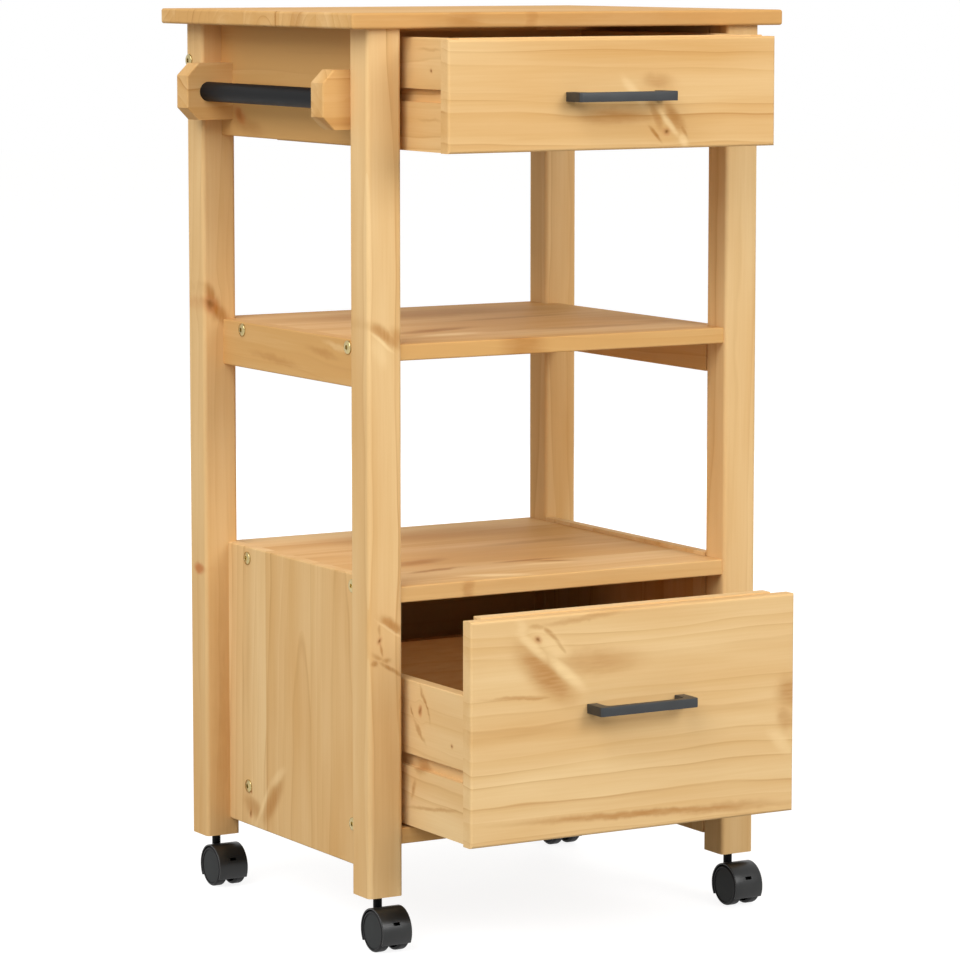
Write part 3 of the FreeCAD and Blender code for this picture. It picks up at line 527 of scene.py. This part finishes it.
def place_in_tree(net, board, along, offset, depth):
    """Place along the tree and from its centre, with the tone, figure and seams there.

    Staves that are glued side by side each come from another tree.
    """
    if not board.stave:
        aside, below = board.pith
        return (along + board.seed, offset - aside, depth - below), board.tone, board.figure, None
    strip = offset / board.stave + SEAM_SHIFT * board.seed
    index = strip.sum_node("FLOOR", strip)
    from_middle = strip - index - 0.5
    chance = net.node("TexWhiteNoise", {"noise_dimensions": "2D"},
                      {"Vector": point(net, index, board.seed, 0.0)}, "Color")
    first, second, third = (net.node("SeparateColor", None, {"Color": chance}, part)
                            for part in ("Red", "Green", "Blue"))
    place = (along + third * STAVE_LENGTHS,
             (from_middle + (first - 0.5) * CENTRE_ASIDE) * board.stave,
             depth + CENTRE_LEAST + second * CENTRE_RANGE)
    tone = board.tone + (third - 0.5) * STAVE_TONES
    figure = board.figure * (STAVE_FIGURE + first)
    seam = smooth_step(from_middle.sum_node("ABSOLUTE", from_middle), SEAM_START, SEAM_END)
    return place, tone, figure, seam


def growth_rings(net, board, in_tree, leaning, figure):
    """Rings of uneven width: their dark lines, how far each has grown, and a random share for each."""
    offset = in_tree[1]
    sway = wood_noise(net, in_tree, SWAY, board.seed)
    ripple = wood_noise(net, in_tree, RIPPLE, board.seed)
    fade = wood_noise(net, in_tree, FADE, -board.seed)
    radius = (offset * offset + leaning * leaning) ** 0.5 + sway * SWAY_REACH
    crowding = noise(net, point(net, radius * CROWDING_WAVES, board.seed, 0.0), 1.0, CROWDING_DETAIL)
    rings = radius / board.ring + crowding * CROWDING_RANGE + ripple * RIPPLE_RANGE
    index = rings.sum_node("FLOOR", rings)
    grown = rings - index
    chance = net.node("TexWhiteNoise", {"noise_dimensions": "1D"}, {"W": index + board.seed}, "Value")
    late = net.node("ValToRGB", {"stops": LATE_WOOD}, {"Fac": grown})
    shown = smooth_step(fade, FADE_START, FADE_END) * figure
    return late * (LINE_LEAST + LINE_RANGE * chance * chance) * shown, grown, chance


def pine_finish(name, board, look, soft_wood):
    """Solid pine: growth rings round the tree's centre, fibres, knots and streaks."""
    material, net = new_finish(name)
    place = net.node("TexCoord", output="Object")
    axes = {axis: net.node("SeparateXYZ", None, {"Vector": place}, axis) for axis in "XYZ"}
    in_board = [axes[axis] for axis in board.grain]
    middle = middle_of(name)
    centre = [middle["XYZ".index(axis)] for axis in board.grain]
    masks, flow = mark_masks(net, board, place, in_board)
    along, _, through = in_board
    in_tree, tone, figure, seam = place_in_tree(net, board, along, flow - centre[1], through - centre[2])
    leaning = in_tree[2] + (along - centre[0]) * board.drift
    line, grown, chance = growth_rings(net, board, in_tree, leaning, figure)

    fibre = wood_noise(net, in_board, FIBRE)
    cloud = wood_noise(net, in_tree, CLOUD, board.seed)
    warmth = cloud * CLOUD_TONE + fibre * FIBRE_TONE + (grown - 0.5) * (chance * RING_TONE)
    shade = blend_colours(tone + warmth, soft_wood, look.honey)
    shade = blend_colours(line, shade, look.ring)
    for tint, marks in masks.items():
        if marks:
            shade = blend_colours(strongest(marks), shade, getattr(look, tint))
    if seam:
        shade = blend_colours(seam * SEAM_TINT, shade, look.ring)
    end_finish(net, {"Base Color": shade,
                     "Roughness": look.gloss + fibre * FIBRE_DULLNESS - line * LINE_GLOSS,
                     "Specular IOR Level": look.sheen,
                     "Normal": bump(net, fibre * FIBRE_HEIGHT - line, WOOD_BUMP, WOOD_RELIEF)})
    return material


# Paint, plastic and plating: a slow cloud and a fine grain make colour and sheen uneven
PAINT_WAVES = 38.0
PAINT_DETAIL = 2.0
GRAIN_DETAIL = 3.0
CLOUD_SHARE = 0.7
GRAIN_SHARE = 0.3
LIGHTER_START = -0.15
LIGHTER_END = 0.25
LIGHTER = 1.35
LIGHTER_LEAST = 0.003
CLOUD_DULLNESS = 0.16
GRAIN_DULLNESS = 0.12
PAINT_BUMP = 0.1


def paint_finish(name, tint, roughness, grain, depth, metallic=0.0, sheen=0.5):
    """Fine-grained paint, plastic or plating with a slightly uneven sheen."""
    material, net = new_finish(name)
    place = net.node("TexCoord", output="Object")
    fine = noise(net, place, grain, GRAIN_DETAIL)
    cloud = noise(net, place, PAINT_WAVES, PAINT_DETAIL)
    lighter = tuple(min(1.0, part * LIGHTER + LIGHTER_LEAST) for part in tint)
    light = smooth_step(cloud * CLOUD_SHARE + fine * GRAIN_SHARE, LIGHTER_START, LIGHTER_END)
    end_finish(net, {"Base Color": blend_colours(light, tint, lighter), "Metallic": metallic,
                     "Specular IOR Level": sheen,
                     "Roughness": roughness + cloud * CLOUD_DULLNESS + fine * GRAIN_DULLNESS,
                     "Normal": bump(net, fine, PAINT_BUMP, depth)})
    return material


def dress(names, material):
    """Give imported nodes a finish."""
    for name in names:
        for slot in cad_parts[name].material_slots:
            slot.material = material


# Edges sharper than these are rounded, or keep a hard line in the shading
ROUNDED_FROM = math.radians(30.0)
HARD_FROM = math.radians(38.0)
EDGE_SEGMENTS = 3
MERGE_REACH = 1e-6
ORIGIN = (0, 0, 0)
X_AXIS = (1, 0, 0)


def sharp_edges(mesh, least):
    """Edges where two faces meet at more than the least angle."""
    return [edge for edge in mesh.edges if len(edge.link_faces) == 2 and edge.calc_face_angle() > least]


def as_data(name, mesh):
    """Mesh data of a bmesh, which is freed."""
    data = bpy.data.meshes.new(name)
    mesh.to_mesh(data)
    mesh.free()
    return data


def add_piece(name, mesh, body, materials, nodes):
    """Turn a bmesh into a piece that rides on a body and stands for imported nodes."""
    for face in mesh.faces:
        face.smooth = True
    for edge in sharp_edges(mesh, HARD_FROM):
        edge.smooth = False
    piece = bpy.data.objects.new(name, as_data(name, mesh))
    bpy.context.scene.collection.objects.link(piece)
    for material in materials:
        piece.data.materials.append(material)
    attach(piece, body)
    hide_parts(*nodes)


def turn_profile(mesh, points, steps):
    """Turn a chain of points, each a radius and a place along X, about the X axis."""
    chain = [mesh.verts.new((along, 0, radius)) for radius, along in points]
    edges = [mesh.edges.new(pair) for pair in zip(chain, chain[1:])]
    bmesh.ops.spin(mesh, geom=chain + edges, cent=ORIGIN, axis=X_AXIS, angle=2 * math.pi, steps=steps,
                   use_merge=True)
    bmesh.ops.remove_doubles(mesh, verts=mesh.verts, dist=MERGE_REACH)
    bmesh.ops.recalc_face_normals(mesh, faces=mesh.faces)


def thicken(mesh, way):
    """Give flat faces a thickness along a vector."""
    made = bmesh.ops.extrude_face_region(mesh, geom=mesh.faces[:])["geom"]
    lifted = [item for item in made if isinstance(item, bmesh.types.BMVert)]
    bmesh.ops.translate(mesh, verts=lifted, vec=way)
    bmesh.ops.recalc_face_normals(mesh, faces=mesh.faces)


def round_edges(mesh, width):
    """Round every sharp edge."""
    bmesh.ops.bevel(mesh, geom=sharp_edges(mesh, ROUNDED_FROM), offset=width, affect="EDGES",
                    segments=EDGE_SEGMENTS, profile=0.5, material=-1, clamp_overlap=True)


def facing(sign):
    """Turn for a part made along +X, so that it looks left for -1 and right for 1."""
    return Matrix.Rotation(0.0 if sign > 0 else math.pi, 4, "Z")


# Bolts, with the boards that they pass on their way into the shelves
BOLTED_BOARDS = {"middle_shelf": "shelf_rail", "lower_shelf": "side_panel", "bottom_shelf": "side_panel"}
BOLT_ROWS = (-111 * MM, 109 * MM)
APRON_BOLT_ROWS = (801 * MM, 838 * MM)
BOLT_HEAD = 6.6 * MM
BOLT_SHANK = 3 * MM
BOLT_DOME = 2.2 * MM
BOLT_LENGTH = 60 * MM
BOLT_STEPS = 36
BOLT_TURN = 0.9   # radians from one bolt's socket to the next one's
DOME_START = 3.125 * MM
DOME_STEPS = 5
SOCKET_FLOOR = 2.4 * MM
SOCKET_REACH = 2.5 * MM
SOCKET_MOUTH = 2.7 * MM
SOCKET_LIP = 0.15 * MM
SOCKET_DEPTH = 1.9 * MM
HALF_FLAT = math.pi / 6   # half the turn of a hexagon's flat


def turns_of(verts):
    """Turn of every vertex about the X axis."""
    return {vert: math.atan2(vert.co.z, vert.co.y) for vert in verts}


def set_ring(turns, reach, height, six_sided):
    """Place a ring of vertices at a height along X, as a circle or a hexagon."""
    for vert, turn in turns.items():
        radius = reach
        if six_sided:
            from_flat = (turn + HALF_FLAT) % (2 * HALF_FLAT) - HALF_FLAT
            radius = reach * math.cos(HALF_FLAT) / math.cos(from_flat)
        vert.co = (height, radius * math.cos(turn), radius * math.sin(turn))


def bolt_mesh(rim):
    """Round-headed connector bolt along +X, its seat at the origin, with a hexagon socket."""
    # From the socket's floor out over the dome, round the rim and down the shank
    outline = [(SOCKET_FLOOR, BOLT_DOME - SOCKET_DEPTH, True), (SOCKET_REACH, BOLT_DOME - SOCKET_LIP, True),
               (SOCKET_MOUTH, BOLT_DOME, True), (DOME_START, BOLT_DOME, False)]
    for step in range(1, DOME_STEPS + 1):
        swing = step / DOME_STEPS * math.pi / 2
        outline.append((DOME_START + (BOLT_HEAD - DOME_START) * math.sin(swing),
                        rim + (BOLT_DOME - rim) * math.cos(swing), False))
    outline += [(BOLT_HEAD, 0.0, False), (BOLT_SHANK, 0.0, False), (BOLT_SHANK, -BOLT_LENGTH, False)]

    mesh = bmesh.new()
    across_x = Matrix.Rotation(math.pi / 2, 4, "Y")
    bmesh.ops.create_circle(mesh, segments=BOLT_STEPS, radius=1.0, matrix=across_x)
    edges = mesh.edges[:]
    set_ring(turns_of(mesh.verts), *outline[0])
    bmesh.ops.contextual_create(mesh, geom=edges)
    for stop in outline[1:]:
        made = bmesh.ops.extrude_edge_only(mesh, edges=edges)["geom"]
        new_verts = [item for item in made if isinstance(item, bmesh.types.BMVert)]
        edges = [item for item in made if isinstance(item, bmesh.types.BMEdge)
                 and all(vert in new_verts for vert in item.verts)]
        set_ring(turns_of(new_verts), *stop)
    bmesh.ops.contextual_create(mesh, geom=edges)
    bmesh.ops.recalc_face_normals(mesh, faces=mesh.faces)
    return mesh


def outer_face(node, sign):
    """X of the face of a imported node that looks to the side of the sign."""
    low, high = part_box(node)
    return high.x if sign > 0 else low.x


def bolt_places():
    """Seat and side of every bolt head, read from the boards that the bolts pass."""
    places = []
    for side, sign in SIDE_SIGNS.items():
        for shelf, board in BOLTED_BOARDS.items():
            outer = outer_face(f"{side}_{board}", sign)
            places += [(Vector((outer, row, middle_of(shelf).z)), sign) for row in BOLT_ROWS]
        outer = outer_face(f"rear_{side}_leg", sign)
        places += [(Vector((outer, middle_of("rear_apron").y, level)), sign) for level in APRON_BOLT_ROWS]
    return places


# Handles
HANDLE_LONG = 109 * MM
HANDLE_DEEP = 26 * MM
HANDLE_HIGH = 9 * MM
HANDLE_BAR = 7 * MM
HANDLE_POST = 11 * MM
HANDLE_BEND = 3.2 * MM
HANDLE_HOLLOW = 5.5 * MM
BEND_SEGMENTS = 8


def handle_mesh(edge_round):
    """Bar with two posts, its back at Y 0 and its middle at X 0 and Z 0."""
    mesh = bmesh.new()
    half = HANDLE_LONG / 2
    inner = half - HANDLE_POST
    bar = HANDLE_BAR - HANDLE_DEEP
    corners = [(-half, 0), (-half, -HANDLE_DEEP), (half, -HANDLE_DEEP), (half, 0),
               (inner, 0), (inner, bar), (-inner, bar), (-inner, 0)]
    verts = [mesh.verts.new((x, y, -HANDLE_HIGH / 2)) for x, y in corners]
    mesh.faces.new(verts)
    # The bar bends at its two front corners, and is hollowed at the two behind them
    for bent, radius in ((verts[1:3], HANDLE_BEND), (verts[5:7], HANDLE_HOLLOW)):
        bmesh.ops.bevel(mesh, geom=bent, offset=radius, affect="VERTICES", segments=BEND_SEGMENTS,
                        profile=0.5, material=-1)
    thicken(mesh, (0, 0, HANDLE_HIGH))
    round_edges(mesh, edge_round)
    return mesh


# Casters. The groove round a wheel's disc goes from its rim on the tyre in to the disc's edge
WHEEL_RADIUS = 20 * MM
WHEEL_WIDTH = 10.6 * MM
WHEEL_GAP = 10.4 * MM
TYRE_ROUND = 2.2 * MM
TYRE_INNER = 17.4 * MM
TYRE_LIP = 0.1 * MM
GROOVE_RIM = 17.3 * MM
GROOVE_OUTER = 17.1 * MM
GROOVE_INNER = 16.8 * MM
GROOVE_DEEP = 0.3 * MM
DISC_REACH = 17 * MM
DISC_EDGE = 16.5 * MM
DISC_SINK = 0.6 * MM
DISC_CROWN = 0.25 * MM
DISC_RINGS = 8
CUP_FLOOR = 8 * MM
HUB = 4.5 * MM
BORE = 2.55 * MM
AXLE_END = 9.1 * MM
HOOD_INNER = 20.8 * MM
HOOD_OUTER = 22.4 * MM
WEB_HALF = 4.7 * MM
WEB_OVERLAP = 0.2 * MM
HOOD_BACK = math.radians(-33.0)
HOOD_SWEEP = math.radians(242.0)
HOOD_STEPS = 58
SLOT_HALF = 3.5 * MM
SLOT_START = math.radians(150.0)
SLOT_END = math.radians(160.0)
SLOT_FLOOR = 15 * MM
WHEEL_STEPS = 72
QUARTER_STEPS = 6


def quarter_round(radius, height, size, start):
    """Points of a quarter circle round a centre, from a start angle in degrees."""
    turns = [math.radians(start + 90.0 * step / QUARTER_STEPS) for step in range(QUARTER_STEPS + 1)]
    return [(radius + size * math.cos(turn), height + size * math.sin(turn)) for turn in turns]


def wheel_mesh():
    """Cup-shaped wheel along +X from its inner face, with a round tyre and a sunk disc."""
    mesh = bmesh.new()
    outline = [(0.0, AXLE_END), (BORE, AXLE_END), (BORE, 0.0), (HUB, 0.0), (HUB, CUP_FLOOR),
               (TYRE_INNER, CUP_FLOOR), (TYRE_INNER, 0.0)]
    outline += quarter_round(WHEEL_RADIUS - TYRE_ROUND, TYRE_ROUND, TYRE_ROUND, -90.0)
    outline += quarter_round(WHEEL_RADIUS - TYRE_ROUND, WHEEL_WIDTH - TYRE_ROUND, TYRE_ROUND, 0.0)
    disc = WHEEL_WIDTH - DISC_SINK
    outline += [(GROOVE_RIM, WHEEL_WIDTH - TYRE_LIP), (GROOVE_OUTER, disc - GROOVE_DEEP),
                (GROOVE_INNER, disc - GROOVE_DEEP), (DISC_EDGE, disc)]
    for step in range(1, DISC_RINGS + 1):
        reach = DISC_EDGE * (1 - step / DISC_RINGS)
        outline.append((reach, disc + DISC_CROWN * (1 - (reach / DISC_REACH) ** 2)))
    turn_profile(mesh, outline, WHEEL_STEPS)
    for face in mesh.faces:
        middle = face.calc_center_median()
        on_disc = middle.x > CUP_FLOOR and middle.yz.length < GROOVE_INNER
        face.material_index = 1 if on_disc else 0
    return mesh


def in_slot(vector):
    """Whether a point lies in the sector of the hood's slot."""
    return SLOT_START < math.atan2(vector.z, vector.y) < SLOT_END


def web_mesh():
    """Plate between the wheels, closed below by a straight edge and hollowed behind the slot."""
    mesh = bmesh.new()
    radius = HOOD_INNER + WEB_OVERLAP
    start = mesh.verts.new((-WEB_HALF, radius * math.cos(HOOD_BACK), radius * math.sin(HOOD_BACK)))
    bmesh.ops.spin(mesh, geom=[start], cent=ORIGIN, axis=X_AXIS, angle=HOOD_SWEEP, steps=HOOD_STEPS)
    for vert in mesh.verts:
        if in_slot(vert.co):
            vert.co.yz = vert.co.yz * (SLOT_FLOOR / radius)
    ends = [vert for vert in mesh.verts if len(vert.link_edges) == 1]
    mesh.edges.new(ends)
    bmesh.ops.contextual_create(mesh, geom=mesh.edges[:])
    thicken(mesh, (2 * WEB_HALF, 0, 0))
    return mesh


def hood_mesh(edge_round):
    """Cover over both treads with a slot in front, and the web between the wheels."""
    mesh = bmesh.new()
    half = WHEEL_GAP / 2 + WHEEL_WIDTH
    stations = (-half, -SLOT_HALF, SLOT_HALF, half)
    outline = [(x, HOOD_INNER) for x in stations] + [(x, HOOD_OUTER) for x in reversed(stations)]
    section = [mesh.verts.new((x, radius * math.cos(HOOD_BACK), radius * math.sin(HOOD_BACK)))
               for x, radius in outline]
    start = mesh.faces.new(section)
    bmesh.ops.spin(mesh, geom=[start] + list(start.edges) + section, cent=ORIGIN, axis=X_AXIS,
                   angle=HOOD_SWEEP, steps=HOOD_STEPS)
    bmesh.ops.remove_doubles(mesh, verts=mesh.verts, dist=MERGE_REACH)
    bmesh.ops.recalc_face_normals(mesh, faces=mesh.faces)
    round_edges(mesh, edge_round)

    # The slot goes through the cover, with walls between its outer and inner edges
    slot = []
    for face in mesh.faces:
        middle = face.calc_center_median()
        if abs(middle.x) < SLOT_HALF / 2 and in_slot(middle):
            slot.append(face)
    rims = [edge for edge in mesh.edges if sum(face in slot for face in edge.link_faces) == 1]
    bmesh.ops.delete(mesh, geom=slot, context="FACES")
    bmesh.ops.bridge_loops(mesh, edges=rims)
    web = as_data("hood_web", web_mesh())
    mesh.from_mesh(web)
    bpy.data.meshes.remove(web)
    bmesh.ops.recalc_face_normals(mesh, faces=mesh.faces)
    return mesh


class CART_OT_pine_boards(bpy.types.Operator):
    """Give every board its own lacquered pine, and the thin panels their veneer"""
    bl_idname = "cart.pine_boards"
    bl_label = "Pine boards"

    def execute(self, context):
        look = context.scene.cart_pine
        for name, board in BOARDS.items():
            dress([name], pine_finish(name, board, look, look.pale))
        for name, board in VENEERS.items():
            dress([name], pine_finish(name, board, look, look.veneer))
        return {"FINISHED"}


class CART_OT_plain_fittings(bpy.types.Operator):
    """Finish the rod, stems, screws, sockets and axles"""
    bl_idname = "cart.plain_fittings"
    bl_label = "Rod, stems and screws"

    def execute(self, context):
        look = context.scene.cart_fittings
        black = paint_finish("rod_black_paint", look.rod_paint, roughness=0.5, grain=1400.0,
                             depth=0.05 * MM, sheen=0.1)
        zinc = paint_finish("zinc_plating", look.zinc, roughness=0.34, grain=900.0, depth=0.02 * MM,
                            metallic=1.0)
        dress(["towel_rod"] + [caster + "_stem" for caster in CASTERS], black)
        dress(["caster_sockets"] + [f"{drawer}_handle_screws" for drawer in DRAWERS]
              + [caster + "_axle" for caster in CASTERS], zinc)
        return {"FINISHED"}


class CART_OT_frame_bolts(bpy.types.Operator):
    """Make the domed connector bolts that hold shelves and rear apron"""
    bl_idname = "cart.frame_bolts"
    bl_label = "Frame bolts"

    def execute(self, context):
        look = context.scene.cart_fittings
        plating = paint_finish("yellow_zinc_plating", look.yellow_zinc, roughness=0.28, grain=700.0,
                               depth=0.02 * MM, metallic=1.0)
        pattern = as_data("bolt_pattern", bolt_mesh(look.bolt_rim))
        whole = bmesh.new()
        for number, (seat, sign) in enumerate(bolt_places()):
            before = set(whole.verts)
            whole.from_mesh(pattern)
            added = [vert for vert in whole.verts if vert not in before]
            spin = Matrix.Rotation(number * BOLT_TURN, 4, "X")
            bmesh.ops.transform(whole, matrix=Matrix.Translation(seat) @ facing(sign) @ spin, verts=added)
        bpy.data.meshes.remove(pattern)
        add_piece("frame_bolts_domed", whole, "cart_frame", [plating], ["frame_bolts"])
        return {"FINISHED"}


class CART_OT_bar_handles(bpy.types.Operator):
    """Make the two black bar handles"""
    bl_idname = "cart.bar_handles"
    bl_label = "Bar handles"

    def execute(self, context):
        look = context.scene.cart_fittings
        black = paint_finish("handle_black_paint", look.black_paint, roughness=0.42, grain=1400.0,
                             depth=0.05 * MM)
        for drawer in DRAWERS:
            node = f"{drawer}_handle"
            _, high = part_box(node)
            place = middle_of(node)
            place.y = high.y
            mesh = handle_mesh(look.handle_edge)
            bmesh.ops.translate(mesh, verts=mesh.verts, vec=place)
            add_piece(f"{drawer}_bar_handle", mesh, f"{drawer}_drawer", [black], [node])
        return {"FINISHED"}


class CART_OT_casters(bpy.types.Operator):
    """Make the moulded hoods and twin wheels of the casters"""
    bl_idname = "cart.casters"
    bl_label = "Casters"

    def execute(self, context):
        look = context.scene.cart_fittings
        hood_black = paint_finish("hood_plastic", look.hood_plastic, roughness=0.36, grain=1100.0,
                                  depth=0.05 * MM, sheen=0.45)
        tyre_black = paint_finish("tyre_plastic", look.tyre_plastic, roughness=0.5, grain=1100.0,
                                  depth=0.08 * MM, sheen=0.2)
        disc_grey = paint_finish("disc_plastic", look.disc_plastic, roughness=0.6, grain=1100.0,
                                 depth=0.08 * MM, sheen=0.15)
        for caster in CASTERS:
            axle = middle_of(caster + "_axle")
            hood = hood_mesh(look.hood_edge)
            bmesh.ops.translate(hood, verts=hood.verts, vec=axle)
            add_piece(caster + "_moulded_hood", hood, caster, [hood_black],
                      [caster + "_hood"])
            for side, sign in SIDE_SIGNS.items():
                node = f"{caster}_{side}_wheel"
                wheel = wheel_mesh()
                seat = axle + Vector((sign * WHEEL_GAP / 2, 0, 0))
                bmesh.ops.transform(wheel, matrix=Matrix.Translation(seat) @ facing(sign), verts=wheel.verts)
                add_piece(node + "_moulded", wheel, node, [tyre_black, disc_grey], [node])
        return {"FINISHED"}


# Studio: whites, the point that the lamps look at, the camera's frame width in millimetres and its reach
WHITE = (1.0, 1.0, 1.0, 1.0)
WALL_WHITE = (1.0, 0.985, 0.96, 1.0)
LAMP_AIM = Vector((0.0, -0.1, 0.45))
FRAME_WIDTH = 36.0
CLIP_END = 100.0


class CART_OT_studio(bpy.types.Operator):
    """Set up the floor, the lamps, the surroundings and the camera"""
    bl_idname = "cart.studio"
    bl_label = "Studio"

    def execute(self, context):
        look = context.scene.cart_studio
        scene = context.scene
        self.make_floor(scene, look)
        self.make_world(scene, look)
        # Name, power, place and size of each lamp, and whether it shows in glossy surfaces
        for row in (
                ("key_lamp", look.key_power, (-2.9, -1.6, 3.3), 3.2, True),
                ("front_lamp", look.front_power, (0.9, -3.3, 2.1), 1.6, True),
                ("back_lamp", look.back_power, (2.2, 3.0, 1.2), 1.6, False)):
            self.make_lamp(scene, *row)
        data = bpy.data.cameras.new("camera")
        data.sensor_width = FRAME_WIDTH
        data.lens = look.lens
        data.clip_end = CLIP_END
        camera = bpy.data.objects.new("camera", data)
        camera.location = look.camera_place
        camera.rotation_euler = (math.pi / 2 - look.camera_tilt, 0.0, -look.camera_turn)
        scene.collection.objects.link(camera)
        scene.camera = camera
        scene.view_settings.view_transform = "Standard"
        return {"FINISHED"}

    def make_floor(self, scene, look):
        mesh = bmesh.new()
        bmesh.ops.create_grid(mesh, x_segments=1, y_segments=1, size=look.floor_size / 2)
        data = as_data("studio_floor", mesh)
        floor = bpy.data.objects.new("studio_floor", data)
        scene.collection.objects.link(floor)
        material, net = new_finish("studio_floor")
        seen = self.seen_ray(net)
        grey = look.floor_grey
        matt = net.node("BsdfDiffuse", None, {"Color": (grey, grey, grey, 1.0)})
        glow = net.node("Emission", None, {"Color": WHITE, "Strength": look.floor_glow})
        lit = net.node("AddShader", None, {0: matt, 1: glow})
        surface = net.node("MixShader", None, {0: seen, 1: matt, 2: lit})
        net.node("OutputMaterial", None, {"Surface": surface})
        data.materials.append(material)

    def make_world(self, scene, look):
        world = bpy.data.worlds.new("studio")
        world.use_nodes = True
        world.node_tree.nodes.clear()
        net = Wire(world.node_tree)
        seen = self.seen_ray(net)
        height = net.node("SeparateXYZ", None, {"Vector": net.node("TexCoord", output="Generated")}, "Z")
        strength = height.node("MapRange", None, {"Value": height, "From Min": 0.0, "From Max": 1.0,
                                                  "To Min": look.ambient, "To Max": look.ceiling})
        even = net.node("Background", None, {"Color": WALL_WHITE, "Strength": strength})
        white = net.node("Background", None, {"Color": WHITE, "Strength": 1.0})
        surface = net.node("MixShader", None, {0: seen, 1: even, 2: white})
        net.node("OutputWorld", None, {"Surface": surface})
        scene.world = world

    def seen_ray(self, net):
        """1 for rays that reach the camera straight, by a gloss or through glass."""
        total = net.node("LightPath", output="Is Camera Ray")
        for name in ("Is Glossy Ray", "Is Transmission Ray"):
            total = total.sum_node("MAXIMUM", total, net.node("LightPath", output=name))
        return total

    def make_lamp(self, scene, name, watts, place, size, shows_in_gloss):
        data = bpy.data.lights.new(name, "AREA")
        data.energy = watts
        data.size = size
        lamp = bpy.data.objects.new(name, data)
        lamp.location = place
        lamp.rotation_euler = (LAMP_AIM - Vector(place)).to_track_quat("-Z", "Y").to_euler()
        lamp.visible_glossy = shows_in_gloss
        scene.collection.objects.link(lamp)


class CART_PT_sidebar(bpy.types.Panel):
    """Buttons and settings of the cart"""
    bl_label = "Pine kitchen cart"
    bl_idname = "CART_PT_sidebar"
    bl_space_type = "VIEW_3D"
    bl_region_type = "UI"
    bl_category = "Cart"

    def draw(self, context):
        for operator in OPERATORS:
            self.layout.operator(operator.bl_idname)
        for name in SETTINGS:
            settings = getattr(context.scene, name)
            for key in settings.__annotations__:
                self.layout.prop(settings, key)


OPERATORS = (CART_OT_pine_boards, CART_OT_plain_fittings, CART_OT_frame_bolts, CART_OT_bar_handles,
             CART_OT_casters, CART_OT_studio)
SETTINGS = {"cart_pine": CartPine, "cart_fittings": CartFittings, "cart_studio": CartStudio}


def register():
    for group in SETTINGS.values():
        bpy.utils.register_class(group)
    for name, group in SETTINGS.items():
        setattr(bpy.types.Scene, name, bpy.props.PointerProperty(type=group))
    for operator in OPERATORS:
        bpy.utils.register_class(operator)
    bpy.utils.register_class(CART_PT_sidebar)


def unregister():
    bpy.utils.unregister_class(CART_PT_sidebar)
    for operator in reversed(OPERATORS):
        bpy.utils.unregister_class(operator)
    for name, group in SETTINGS.items():
        delattr(bpy.types.Scene, name)
        bpy.utils.unregister_class(group)


def main():
    register()
    bpy.ops.cart.studio()
    bpy.ops.cart.pine_boards()
    bpy.ops.cart.plain_fittings()
    bpy.ops.cart.frame_bolts()
    bpy.ops.cart.bar_handles()
    bpy.ops.cart.casters()


if __name__ == "__main__":
    main()
